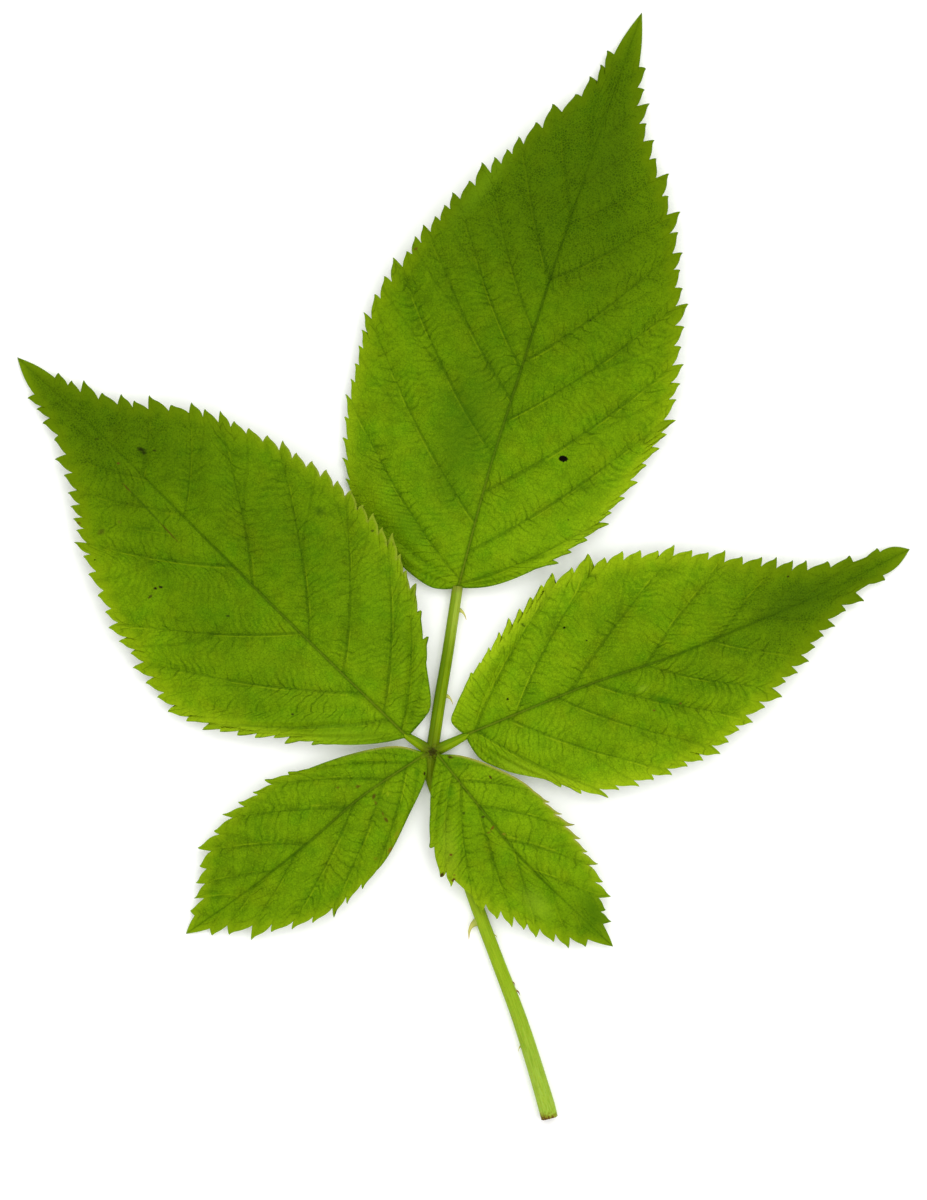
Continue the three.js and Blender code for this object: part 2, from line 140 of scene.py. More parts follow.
def ridged(relief):
    """The section of a stalk: fine ridges all round and a channel along the top."""
    def section(angle, share):
        ridges = relief[0] * np.cos(RIDGES * angle + 0.8 * np.sin(2 * angle))
        return 1 + ridges - relief[1] * np.exp(-((angle - CHANNEL_AT) / CHANNEL_WIDTH) ** 2)
    return section


def petiole_section(angle, share):
    """Ridged, with a shallow channel, and rounded at the edge of the cut end."""
    return ridged(PETIOLE_RELIEF)(angle, share) * (1 - CUT_BEVEL * smooth(share, 1 - CUT_RIM, 1) ** 2)


def skin_mesh(bm, name):
    """The smooth mesh of a finished bmesh, with its faces outwards."""
    bmesh.ops.recalc_face_normals(bm, faces=bm.faces)
    for face in bm.faces:
        face.smooth = True
    mesh = bpy.data.meshes.new(name)
    bm.to_mesh(mesh)
    bm.free()
    return mesh


def put(name, data):
    """A new object in the scene."""
    made = bpy.data.objects.new(name, data)
    bpy.context.scene.collection.objects.link(made)
    return made


bm = bmesh.new()
lying = [(x, y, radius + CLEARANCE, radius) for x, y, radius in PETIOLE]
tube(bm, lying, STALK_SIDES, RING_STEP, petiole_section, PETIOLE_SHADE)
for name, path in STALKLETS.items():
    hand = -1 if name.endswith("left") else 1
    tube(bm, path, STALK_SIDES, RING_STEP, ridged(STALKLET_RELIEF), STALKLET_SHADE, hand)
hub = bmesh.ops.create_icosphere(bm, subdivisions=4, radius=1)["verts"]
bmesh.ops.scale(bm, vec=[s * MM for s in HUB], verts=hub)
bmesh.ops.translate(bm, vec=(0, 0, HUB_HEIGHT * MM), verts=hub)
end_x, end_y, end_radius = PETIOLE[-1]
cut = Vector((end_x, end_y, end_radius + CLEARANCE))
onward = Vector((end_x - PETIOLE[-2][0], end_y - PETIOLE[-2][1], 0)).normalized()
sideways = Vector((-onward.y, onward.x, 0))
for i in range(STRANDS):
    turn = 2 * math.pi * (i + 0.3) / STRANDS
    reach = end_radius * (STRAND_RING[0] + STRAND_RING[1] * math.sin(5 * i))
    spot = cut - onward * STRAND_DEPTH + sideways * math.cos(turn) * reach
    spot.z += math.sin(turn) * reach
    bead = bmesh.ops.create_icosphere(bm, subdivisions=2, radius=STRAND_RADIUS * MM)["verts"]
    bmesh.ops.translate(bm, vec=spot * MM, verts=bead)
    for face in {face for v in bead for face in v.link_faces}:
        face.material_index = 1
petiole = put("petiole_skin", skin_mesh(bm, "petiole_skin"))


def add(tree, kind, *values, out=None, named=None, **settings):
    """Adds a node with its settings and links, and gives its output. values fill its inputs in order."""
    node = tree.nodes.new("ShaderNode" + kind)
    for name, value in settings.items():
        setattr(node, name, value)
    usable = [s for s in node.inputs if s.enabled]
    pairs = list(zip(usable, values)) + [(node.inputs[name], v) for name, v in (named or {}).items()]
    for socket, value in pairs:
        if isinstance(value, bpy.types.NodeSocket):
            tree.links.new(value, socket)
        elif value is not None:
            socket.default_value = value
    return node.outputs[out] if out else next(s for s in node.outputs if s.enabled)


def material(name):
    """A new material with its nodes and its shader."""
    made = bpy.data.materials.new(name)
    made.use_nodes = True
    return made, made.node_tree, made.node_tree.nodes["Principled BSDF"]


COLOUR = {"data_type": "RGBA"}  # a Mix node that mixes colours


def times(tree, first, second):
    """The product of two numbers."""
    return add(tree, "Math", first, second, operation="MULTIPLY")


def times_each(tree, first, second):
    """The product of two vectors or colours, part by part."""
    return add(tree, "VectorMath", first, second, operation="MULTIPLY")


def ramp(tree, source, low, high, start, end):
    """Goes from start to end without corners, as source goes from low to high."""
    return add(tree, "MapRange", source, low, high, start, end, interpolation_type="SMOOTHSTEP")


def noise(tree, place, grain, detail, **settings):
    """A noise with a grain in mm."""
    return add(tree, "TexNoise", place, 1 / (grain * MM), detail, **settings)


def laid_over(tree, colour, tones):
    """Lays tones over a colour, each from nothing where its source is low to its most where it's high."""
    for source, low, high, most, tone in tones:
        share = ramp(tree, source, low, high, 0.0, most)
        tone = linear(tone) if isinstance(tone, str) else tone
        colour = add(tree, "Mix", share, colour, tone, **COLOUR)
    return colour


def finish(tree, shader, colour, roughness, shine, relief=None):
    """Gives the shader its colour, roughness and shine, and its fine relief as a Bump node's inputs."""
    tree.links.new(colour, shader.inputs["Base Color"])
    shader.inputs["Roughness"].default_value = roughness
    shader.inputs["Specular IOR Level"].default_value = shine
    if relief:
        tree.links.new(add(tree, "Bump", named=relief), shader.inputs["Normal"])


# Fresh green stalk, an epidermis over juicy tissue: satin, with a faint shine along the ridges, paler
# on the ridges, darker in the channel and down the flank beside it (painted shade), and brown where it
# was torn or where the leaflets meet.
stalk_skin, tree, shader = material("fresh_green_stalk_epidermis")
place = add(tree, "TexCoord", out="Object")
uv = add(tree, "UVMap", uv_map="stalk")
around = add(tree, "SeparateXYZ", uv, out="X")
wide = noise(tree, place, 2.5, 2.0)
thread = times_each(tree, uv, (40, 0.6, 1))  # 0.1 mm wide, mm long
threads = add(tree, "TexNoise", thread, 1.0, 3.0)
fleck = noise(tree, place, 0.22, 1.0)
shake = add(tree, "MapRange", fleck, 0.2, 0.8, -0.3, 0.3)
y_mm = times(tree, add(tree, "SeparateXYZ", place, out="Y"), 1 / MM)
flat = times_each(tree, place, (1 / MM, 1 / MM, 0))
past_hub = add(tree, "VectorMath", flat, (0.2, 0.19, 0), (-0.2, -1.25, 0), operation="MULTIPLY_ADD")
past_hub = add(tree, "VectorMath", past_hub, operation="LENGTH", out="Value")
green = laid_over(tree, linear("#87a514"), (
    (y_mm, -16.0, -4.0, 1.0, "#799700"),
    (y_mm, -20.0, -33.0, 0.2, "#a8c462"),
    (y_mm, 8.0, 13.5, 0.6, "#98ac3a"),
    (past_hub, 1.1, 0.3, 0.45, "#587000"),
))
pale = times_each(tree, green, (1.25, 1.2, 2.4))
deep = times_each(tree, green, (0.62, 0.72, 0.15))
light = times_each(tree, green, (1.3, 1.22, 1.2))
shade = times_each(tree, green, (0.62, 0.7, 0.5))
green = laid_over(tree, green, (
    (wide, 0.35, 0.7, 0.5, light),
    (threads, 0.42, 0.68, 0.6, pale),
    (threads, 0.5, 0.3, 0.5, shade),
    (fleck, 0.6, 0.8, 0.35, light),
    (fleck, 0.38, 0.25, 0.4, shade),
))
# Painted shade: darker in the channel and down one flank beside it, fully on the stalklets and faintly on
# the petiole.
groove = 0
for middle, reach, full, most in ((0.53, 0.035, 0.01, 0.25), (0.65, 0.15, 0.09, 0.9)):  # shares of a turn
    beside = add(tree, "Math", around, middle, operation="SUBTRACT")
    beside = add(tree, "Math", beside, operation="ABSOLUTE")
    beside = ramp(tree, beside, reach, full, 0.0, most)
    groove = add(tree, "Math", beside, groove, operation="MAXIMUM")
channel = add(tree, "Attribute", out="Fac", attribute_name="channel")
groove = times(tree, groove, channel)
green = add(tree, "Mix", groove, green, deep, **COLOUR)
from_hub = add(tree, "VectorMath", flat, operation="LENGTH", out="Value")
from_hub = add(tree, "Math", from_hub, shake, operation="ADD")
below_hub = add(tree, "VectorMath", flat, (1.3, 0.45, 0), (0, 0.2, 0), operation="MULTIPLY_ADD")
below_hub = add(tree, "VectorMath", below_hub, operation="LENGTH", out="Value")
to_end = add(tree, "Math", y_mm, shake, operation="ADD")
green = laid_over(tree, green, (
    (from_hub, 1.2, 0.4, 0.6, "#525a08"),
    (below_hub, 2.2, 0.7, 0.6, "#4a5a02"),
    (from_hub, 0.62, 0.2, 0.85, "#2b2304"),
    (y_mm, 14.8, 15.4, 0.6, "#787c2a"),
    (to_end, -33.7, -34.25, 0.8, "#77700c"),
    (to_end, -34.15, -34.42, 0.9, "#5c3a12"),
))
relief = times(tree, fleck, 0.008)
relief = add(tree, "Math", threads, 0.03, relief, operation="MULTIPLY_ADD")
finish(tree, shader, green, 0.48, 0.06, {"Height": relief, "Distance": MM, "Strength": 0.8})
shader.inputs["Subsurface Weight"].default_value = 0.12
shader.inputs["Subsurface Scale"].default_value = 0.4 * MM
petiole.data.materials.append(stalk_skin)

# Dried strands: woody threads that stand a little out of the torn end, matt and almost black.
strand_tips, tree, shader = material("dried_strand_ends")
place = add(tree, "TexCoord", out="Object")
fleck = noise(tree, place, 0.1, 1.0)
tint = add(tree, "Mix", fleck, linear("#1b0d06"), linear("#4d2c12"), **COLOUR)
finish(tree, shader, tint, 0.7, 0.5)
petiole.data.materials.append(strand_tips)

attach(petiole, "root")
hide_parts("petiole")

# ---- prickles ----
# Sharp hooks of hard skin, without wood, that stand off the stalk and point back to its lower end.
# Each has a long narrow foot along the stalk and a thin bent point. Most are straw yellow with a
# red-brown point, and the smallest have dried brown.

PRICKLES = [
    (2.42, 13.4, 0.95, -8, 1.1, 0), (1.3, 5.3, 0.85, -10, 0.9, 0), (4.2, -15.95, 0.62, 200, 1.6, 0),
    (7.42, -21.6, 0.85, 20, 0.55, 1), (7.78, -22.4, 0.85, 12, 0.68, 1), (5.8, -17.2, 0.6, 18, 0.45, 0),
    (8.4, -27.6, 0.62, 198, 0.55, 0),
]  # x, y, height in mm, direction in degrees, size, and 1 if it has dried
HOOK = [(0.1, 0.02), (0.36, 0.14), (0.54, 0.42), (0.62, 0.82)]  # mm off and down the stalk at size 1
HOOK_RADII = (0.26, 0.16, 0.11, 0.065, 0.015)  # foot to point, in mm at size 1
HOOK_ROOT = 0.32  # mm of it inside the stalk
HOOK_LIFT = 0.05  # how much it rises as it goes off
DOWN_THE_STALK = (0.15, -1, 0)
FOOT_LENGTH = 1.5  # how many times longer than wide the foot is
HOOK_SIDES = 16
HOOK_STEP = 0.06  # mm


def oval(angle, share):
    """The section of a prickle, long at the foot and round at the point."""
    long = 1 + (FOOT_LENGTH - 1) * (1 - smooth(share, 0.15, 0.7))
    return 1 / np.sqrt((np.sin(angle) / long) ** 2 + np.cos(angle) ** 2)


bm = bmesh.new()
dried = bm.verts.layers.float.new("dried")
toward = bm.verts.layers.float.new("toward_point")
for x, y, z, degrees, size, brown in PRICKLES:
    turn = math.radians(degrees)
    out = Vector((math.cos(turn), math.sin(turn), HOOK_LIFT))
    foot = Vector((x, y, z))
    path = []
    for (away, down), radius in zip([(-HOOK_ROOT / size, 0), *HOOK], HOOK_RADII):
        spot = foot + out * away * size + Vector(DOWN_THE_STALK) * down * size
        path.append((*spot, radius * size))
    for vertex in tube(bm, path, HOOK_SIDES, HOOK_STEP, oval, 0):
        if vertex.is_valid:
            vertex[dried] = brown
            vertex[toward] = (vertex.co / MM - foot).length / size
prickles = put("prickles", skin_mesh(bm, "prickles"))

# Hardened skin, like a thin horn: pale and a little glossy, reddish towards the point.
horn, tree, shader = material("hardened_prickle_skin")
place = add(tree, "TexCoord", out="Object")
reach = add(tree, "Attribute", out="Fac", attribute_name="toward_point")
age = add(tree, "Attribute", out="Fac", attribute_name="dried")
fleck = noise(tree, place, 0.3, 2.0)
straw = laid_over(tree, linear("#8b9c26"), (
    (reach, 0.1, 0.5, 0.9, "#c4bf5c"),
    (reach, 0.75, 1.1, 0.7, "#c09a50"),
    (fleck, 0.5, 0.7, 0.3, "#b7aa4a"),
))
brown = add(tree, "Mix", fleck, linear("#8c5a24"), linear("#5a2f14"), **COLOUR)
share = ramp(tree, reach, 0.1, 0.45, 0.0, 1.0)
share = times(tree, share, age)
tint = add(tree, "Mix", share, straw, brown, **COLOUR)
finish(tree, shader, tint, 0.38, 0.4, {"Height": fleck, "Distance": 0.02 * MM, "Strength": 0.6})
prickles.data.materials.append(horn)

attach(prickles, "root")

# ---- leaflets ----
# Five thin blades of fresh leaf tissue, each grown on its stalklet. A blade folds up a little from its
# midrib, droops at its margins and is puffed between its lateral veins, which end in the larger teeth
# of a sharp margin. The veins are sunk in the upper side and stand out below.

# In LEAFLETS, base and tip are x and y in mm. midrib, spine and tilt run along the length: how far the
# midrib strays to the left, its height, and how the blade slopes across. fold and droop give the rise
# beside the midrib and the sinking of the margins. left and right are the lateral veins and the lanes
# between them, as (start along the midrib, end along it, end away from it). plain is how many lanes
# at the base have no teeth, left and right. counts and sizes say how many teeth a lane has and how
# large one is, where these aren't the usual ones. tip_bulge is how far the drip tip swells, in mm.
LEAFLETS = {
    "terminal_leaflet": {
        "base": (2.44, 15.41), "tip": (19.74, 69.55),
        "midrib": (0, 0.6, 0.6, 0.35, 0), "spine": (1.35, 2.45, 2.9, 2.1, 0.31),
        "tilt": (-0.1, -0.03, 0.02, 0.03, 0), "fold": 0.1, "droop": 0.0095, "plain": (3, 2),
        "counts": {(1, 10): 2, (1, 11): 2}, "tip_bulge": 0.14,
        "left": [
            (0, 0, 0), (0.1, -0.7, 2.3), (0.3, 0.9, 6.8), (0.5, 5.2, 12), (0.8, 13.8, 14.9),
            (6.3, 21.6, 15.4), (12.7, 27.1, 14.1), (18.4, 31, 12.6), (21.2, 34.8, 10.9),
            (25.2, 38, 8.9), (30.2, 41.5, 6.8), (36.3, 45.5, 4.3), (41.5, 49.3, 2),
            (47, 52.2, 1.3), (56.8, 56.8, 0)],
        "right": [
            (0, 0, 0), (0.15, 0.9, 2.5), (0.3, 4.1, 6.6), (0.45, 9.9, 10.7), (3.5, 20.9, 13.6),
            (9.1, 26, 12.8), (16.1, 31.4, 11.4), (22, 36, 9.6), (30.2, 39.3, 8), (35.6, 42.3, 6),
            (39.9, 45.2, 3.8), (43.8, 48.2, 2.25), (48, 51.8, 1.3), (56.8, 56.8, 0)],
    },
    "upper_left_leaflet": {
        "base": (-2.26, 1.41), "tip": (-39, 37.12),
        "midrib": (0, 0, -0.15, -0.3, 0), "spine": (1.3, 2.5, 2.9, 2, 0.31),
        "tilt": (0, -0.06, -0.05, -0.02, 0), "fold": 0.11, "droop": 0.009, "plain": (2, 2),
        "counts": {(-1, 2): 3}, "tip_bulge": 0.18,
        "left": [
            (0, 0, 0), (0.2, 1.4, 2.1), (0.5, 4.5, 5.3), (0.8, 8, 7.5), (2.4, 14.3, 12),
            (4.2, 17.8, 13.1), (6, 22.7, 12.2), (14.1, 27, 11.2), (22.6, 34.3, 7.9),
            (27.3, 36.3, 6.5), (29.9, 38.4, 5), (34.5, 41.5, 3.3), (39, 45, 1.95),
            (44, 47.6, 1.35), (51.2, 51.2, 0)],
        "right": [
            (0, 0, 0), (0.3, 0.2, 2.9), (0.6, 3.6, 6.2), (0.9, 9.56, 10.15), (3.2, 14, 11.6),
            (8.6, 20, 12.1), (12.6, 27.4, 10.9), (20.2, 33.3, 8.8), (29.5, 35.9, 7.5),
            (35, 38.9, 5.1), (39.1, 41.3, 3.4), (43, 44.6, 1.8), (46.5, 47.3, 1.1), (51.2, 51.2, 0)],
    },
    "upper_right_leaflet": {
        "base": (3.1, 1.6), "tip": (44.92, 19.08),
        "midrib": (0, -0.05, -0.7, -0.7, 0), "spine": (1.3, 2.2, 2.6, 1.9, 0.31),
        "tilt": (0, 0, 0, 0, 0), "fold": 0.11, "droop": 0.011, "plain": (2, 3),
        "sizes": {(1, 2, 0): 0, (1, 2, 1): 0.3, (1, 3, 0): 0.35, (1, 3, 1): 0.6,
                  (1, 11, 0): 0, (-1, 11, 0): 0, (-1, 11, 1): 0.8},
        "counts": {(1, 10): 2}, "tip_bulge": 0.28,
        "left": [
            (0, 0, 0), (0.1, -0.7, 1.6), (0.3, 0.4, 3), (0.5, 2.95, 5.05), (0.7, 8.1, 7.7),
            (1, 13.4, 9.9), (5.3, 17.3, 9.9), (10.7, 24.5, 8), (18.2, 28.7, 5.6), (25.6, 33, 3.2),
            (30, 35.6, 1.9), (34, 39.9, 0.95), (38.5, 42.6, 0.85), (45.3, 45.3, 0)],
        "right": [
            (0, 0, 0), (0.1, 0.3, 2.2), (0.2, 2.2, 4.5), (0.3, 5.3, 6.7), (1.3, 9.7, 9.5),
            (4.1, 16.3, 10.2), (9.4, 21, 9.8), (13, 25, 8.4), (18.2, 28.3, 7), (24.7, 32, 5.2),
            (30.5, 35.6, 3.1), (34.5, 39, 1.8), (39, 42, 1.3), (45.3, 45.3, 0)],
    },
    "lower_left_leaflet": {
        "base": (-0.66, -0.19), "tip": (-23.15, -17.1),
        "midrib": (0, -0.4, 0.05, 0.2, 0), "spine": (1.3, 1.9, 2.1, 1.6, 0.31),
        "tilt": (0, 0, 0, 0, 0), "fold": 0.11, "droop": 0.014, "plain": (3, 3), "tip_bulge": 0.07,
        "left": [
            (0.2, -0.2, 0), (0.5, 1, 1.6), (0.8, 4.5, 3.6), (2.2, 10.2, 6), (4.6, 15.6, 6.3),
            (7.8, 19.3, 5.1), (15.1, 22.6, 3.1), (19.9, 24.5, 1.7), (24, 26, 0.95), (28.1, 28.1, 0)],
        "right": [
            (0.2, -0.2, 0), (0.5, 1.5, 2.1), (0.9, 5, 4), (1.5, 9.5, 5.5), (4.4, 13.2, 6.4),
            (8.8, 18, 6.1), (13.8, 21.5, 4.8), (17.6, 23.8, 2.7), (21.8, 24.7, 1.65),
            (25, 26.4, 0.9), (28.1, 28.1, 0)],
    },
    "lower_right_leaflet": {
        "base": (0.75, -0.47), "tip": (17, -18.25),
        "midrib": (0, -0.38, -0.72, -0.45, 0), "spine": (2, 2.6, 2.6, 1.9, 0.9),
        "tilt": (0, 0, 0, 0, 0), "fold": 0.08, "droop": 0.012, "plain": (3, 2), "tip_bulge": 0.08,
        "counts": {(-1, 2): 1, (-1, 3): 1, (-1, 4): 3},
        "sizes": {(-1, 2, 0): 0.5, (-1, 3, 0): 1.2, (-1, 4, 1): 0, (-1, 4, 2): 0},
        "left": [
            (0.2, -0.4, 0), (0.5, 1.1, 1.5), (0.9, 4, 3.1), (2.8, 8.3, 4.4), (5.9, 12.7, 4.3),
            (9.5, 16.9, 3.5), (14, 19.8, 2.1), (17.8, 21.9, 0.75), (24.1, 24.1, 0)],
        "right": [
            (0.2, -0.4, 0), (0.5, 1.05, 1.97), (0.7, 3.27, 4.24), (1.2, 5.82, 6.05), (2, 8.35, 6.8),
            (3.2, 11.7, 6.5), (5.8, 15.7, 4.95), (11.4, 18.2, 3.95), (16.1, 20.7, 2.4),
            (19.9, 22, 1.3), (24.1, 24.1, 0)],
    },
}
VEINS = {
    "terminal_leaflet": (
        (0, 0, 0.3, 0.5, 1, 1, 1, 1, 0.9, 0.9, 0.9, 0.8, 0.7, 0.5, 0),
        (0, 0, 0.4, 1, 1, 1, 1, 1, 1, 0.9, 0.8, 0.7, 0.5, 0)),
    "upper_left_leaflet": (
        (0, 0, 0.15, 0.6, 1, 0, 1, 1, 1, 0.5, 0.9, 0.8, 0.6, 0.5, 0),
        (0, 0.3, 0.4, 0.8, 1, 1, 1, 1, 0.9, 0.8, 0.7, 0.6, 0.5, 0)),
    "upper_right_leaflet": (
        (0, 0, 0, 0, 0.2, 1, 1, 1, 1, 0.9, 0.8, 0.7, 0.5, 0),
        (0, 0, 0.3, 0.5, 1, 1, 1, 1, 0.9, 0.9, 0.8, 0.7, 0.5, 0)),
    "lower_left_leaflet": (
        (0, 0.3, 0.6, 1, 1, 1, 1, 0.8, 0.6, 0), (0, 0.3, 0.5, 0.8, 1, 1, 1, 0.8, 0.7, 0.5, 0)),
    "lower_right_leaflet": (
        (0, 0.3, 0.6, 1, 1, 1, 0.9, 0.7, 0), (0, 0.3, 0.4, 0.6, 0.8, 1, 1, 1, 0.8, 0.6, 0)),
}  # how strong each lateral vein is, on the left and on the right
THICKNESS, RIM_THICKNESS = 0.3, 0.12  # mm
RIM_WIDTH = 0.7  # mm over which the blade thins to its rim
SEAT_DROP = 0.16  # mm that the thin blade lies lower than the middle of its plain solid
LEAST_HEIGHT = 0.31  # mm of the middle of that solid
SWELL = 0.24  # mm that the skin is puffed between two lateral veins
FLUTTER, FLUTTER_STEP = 0.22, 1.9  # mm that the margin goes up and down, and radians from lane to lane
FULL_WIDTH = 10  # mm, the half width of a blade that swells and flutters fully
VEIN_BOW = 0.05  # how far a vein bows back, as a share of its length
TOOTH_PITCH, BASE_PITCH = 1.62, 1.7  # mm of margin for each tooth, and near the plain base
MAIN_TOOTH, SMALL_TOOTH = 1.12, 0.74  # mm high, at the end of a lateral vein and between
TOOTH_SPREAD = 0.3  # how much luck changes a tooth, as a share
FULL_TOOTH_WIDTH, LEAST_TOOTH = 4, 0.3  # half width in mm of a blade with full teeth, and share at none
BASE_TOOTH = 0.62  # share of its height that a tooth has next to the plain base of the margin
TIP_LOSS = 0.25  # share of its height that a tooth loses towards the drip tip
STEEPEST_TOOTH = 0.72  # its height as a share of its length
POINT_AT = 0.8  # share of a tooth's length where its point stands
POINT_LEANS = (0.14, 0.5)  # how far a point leans ahead, from the least to the most, in tooth heights
BASE_LEAN = 0.8  # how much further the points next to the plain base lean
POINTEDNESS = (0.3, 0.6)  # share of a tooth's height in its fine point, on full teeth and at the base
COLUMNS_PER_TOOTH = 11
ROW_STEP = 0.4  # mm
MARGIN_STEP = 0.02  # lanes to either side of a place that give the margin's direction there
LANE_STEP = 0.05  # lanes between the two places that give the distance from vein to vein
PULLED = 0.83  # share of a lane's way from which the skin is drawn out into the teeth
MIDRIB_RIDGE, MIDRIB_GROOVE = (0.36, 0.34), (0.1, 0.26)  # mm high or deep, and half as wide
VEIN_RIDGE, VEIN_GROOVE = (0.15, 0.2), (0.07, 0.24)


def profile(values, x):
    """The value at a share x (0 to 1) of a leaflet's length."""
    return through(values, np.clip(x, 0, 1) * (len(values) - 1))


def draw(seed):
    """A repeatable draw between 0 and 1."""
    wave = math.sin(seed * 12.9898) * 43758.5453
    return wave - math.floor(wave)


class Blade:
    """The shape of one leaflet, in mm: along its midrib, across it (+ left) and up. side is 1 on the
    left and -1 on the right, k counts lanes along the margin, and q is the share of a lane's way."""

    def __init__(self, leaf):
        self.leaf = leaf
        self.base = np.array(leaf["base"], float)
        span = np.array(leaf["tip"], float) - self.base
        self.length = float(np.hypot(*span))
        self.forward = span / self.length

    def rows(self, side):
        return self.leaf["left" if side > 0 else "right"]

    def lane(self, side, k):
        """Lane k of one side: its start, its end along and its end across."""
        start, along, across = (through(row, k) for row in zip(*self.rows(side)))
        return start, along, side * across

    def midrib(self, along):
        """How far left the midrib is."""
        return profile(self.leaf["midrib"], along / self.length)

    def on_lane(self, side, k, q, start):
        """The place along and across at the share q of lane k's way from start to the margin."""
        _, along, across = self.lane(side, k)
        root = self.midrib(start)
        bow = VEIN_BOW * 4 * q * (1 - q) * np.hypot(along - start, across - root)
        return start + (along - start) * q - bow, root + (across - root) * q

    def height(self, along, across, side, k, q):
        """The height of the middle of the blade."""
        leaf, x = self.leaf, along / self.length
        out = np.abs(across - self.midrib(along))
        width = np.minimum(np.abs(self.lane(side, k)[2]) / FULL_WIDTH, 1)
        swell = SWELL * width * np.sin(np.pi * (k % 1)) ** 2 * np.sin(np.pi * np.minimum(q, 1))
        flutter = FLUTTER * width * q**3 * np.sin(FLUTTER_STEP * k + side)
        z = profile(leaf["spine"], x) + profile(leaf["tilt"], x) * across
        z = z + leaf["fold"] * out - leaf["droop"] * out**2 + swell + flutter
        return np.maximum(z, LEAST_HEIGHT) - SEAT_DROP

    def teeth(self, side):
        """Where the teeth of one side begin, as lanes, with the height of each and how grown it is."""
        rows, plain = self.rows(side), self.leaf["plain"][0 if side > 0 else 1]
        counts, sizes = self.leaf.get("counts", {}), self.leaf.get("sizes", {})
        begin, heights, grown = [], [], []
        for i in range(len(rows) - 1):
            run = math.dist(rows[i][1:], rows[i + 1][1:])
            usual = max(1, math.floor(run / (BASE_PITCH if i <= plain else TOOTH_PITCH) + 0.5))
            count = counts.get((side, i), usual)
            bare = i < plain or i == len(rows) - 2
            near_tip = 1 - TIP_LOSS * float(smooth(i / len(rows), 0.6, 0.9))
            for j in range(count):
                at = i + j / count
                width = abs(float(self.lane(side, at)[2])) / FULL_TOOTH_WIDTH + LEAST_TOOTH
                size = (MAIN_TOOTH if j == count - 1 else SMALL_TOOTH) * sizes.get((side, i, j), 1)
                luck = 1 + TOOTH_SPREAD * (2 * draw(i + j * 7 + side) - 1)
                full = float(smooth(at, plain, plain + 3))
                young = BASE_TOOTH + (1 - BASE_TOOTH) * full
                high = size * luck * young * near_tip * min(width, 1)
                begin.append(at)
                heights.append(0 if bare else min(high, STEEPEST_TOOTH * run / count))
                grown.append(full)
        return np.array(begin + [len(rows) - 1]), np.array(heights), np.array(grown)


def columns_of(blade):
    """The lines of the net from midrib to margin. Gives where they leave the midrib and, for each
    side, their lanes and how far the teeth stand out and lean ahead there."""
    teeth = {side: blade.teeth(side) for side in (1, -1)}
    roots = {side: blade.lane(side, teeth[side][0])[0] for side in (1, -1)}

    def column(start):
        counted = (np.interp(start, row, np.arange(len(row))) for row in roots.values())
        return COLUMNS_PER_TOOTH / 2 * sum(counted)

    found = {}
    for side, (notches, heights, grown) in teeth.items():
        at = np.floor(column(roots[side]) + 0.5).astype(int)
        lanes, out, lean = [], [], []
        for j, (height, full) in enumerate(zip(heights, grown)):
            begin, steps = notches[j], at[j + 1] - at[j]
            front = min(3, max(1, steps // 3))
            behind = POINT_AT * (1 - (1 - np.linspace(0, 1, steps - front + 1)[:-1]) ** 1.5)
            share = np.concatenate([behind, np.linspace(POINT_AT, 1, front + 1)[:-1]])
            # A tooth swells along its back, runs out in a fine point and falls steeply to its notch.
            back = np.clip(share / POINT_AT, 0, 1)
            fall = 1 - np.clip((share - POINT_AT) / (1 - POINT_AT), 0, 1) ** 1.7
            point = POINTEDNESS[1] + (POINTEDNESS[0] - POINTEDNESS[1]) * full
            rise = ((1 - point) * np.sin(back * np.pi / 2) ** 0.85 + point * back**11) * fall
            ahead = POINT_LEANS[0] + (POINT_LEANS[1] - POINT_LEANS[0]) * draw(begin * 3 + side)
            lanes.extend(begin + share * (notches[j + 1] - begin))
            out.extend(height * rise)
            lean.extend(height * (ahead + BASE_LEAN * (1 - full)) * back**6 * fall)
        lanes = np.array([*lanes, notches[-1]])
        bulge = blade.leaf["tip_bulge"] * np.sin(np.pi * np.clip(lanes - notches[-1] + 1, 0, 1))
        found[side] = [lanes, np.array([*out, 0]) + bulge, np.array([*lean, 0])]
    return found, sum(blade.lane(side, found[side][0])[0] for side in (1, -1)) / 2


def margin(blade, side, k, out, lean):
    """A point that stands off the margin by out, and ahead of it by lean."""
    last = len(blade.rows(side)) - 1
    _, a0, c0 = blade.lane(side, np.clip(k - MARGIN_STEP, 0, last))
    _, a1, c1 = blade.lane(side, np.clip(k + MARGIN_STEP, 0, last))
    _, along, across = blade.lane(side, k)
    run = np.stack([a1 - a0, c1 - c0])
    run /= np.linalg.norm(run, axis=0)
    return along - side * run[1] * out + run[0] * lean, across + side * run[0] * out + run[1] * lean


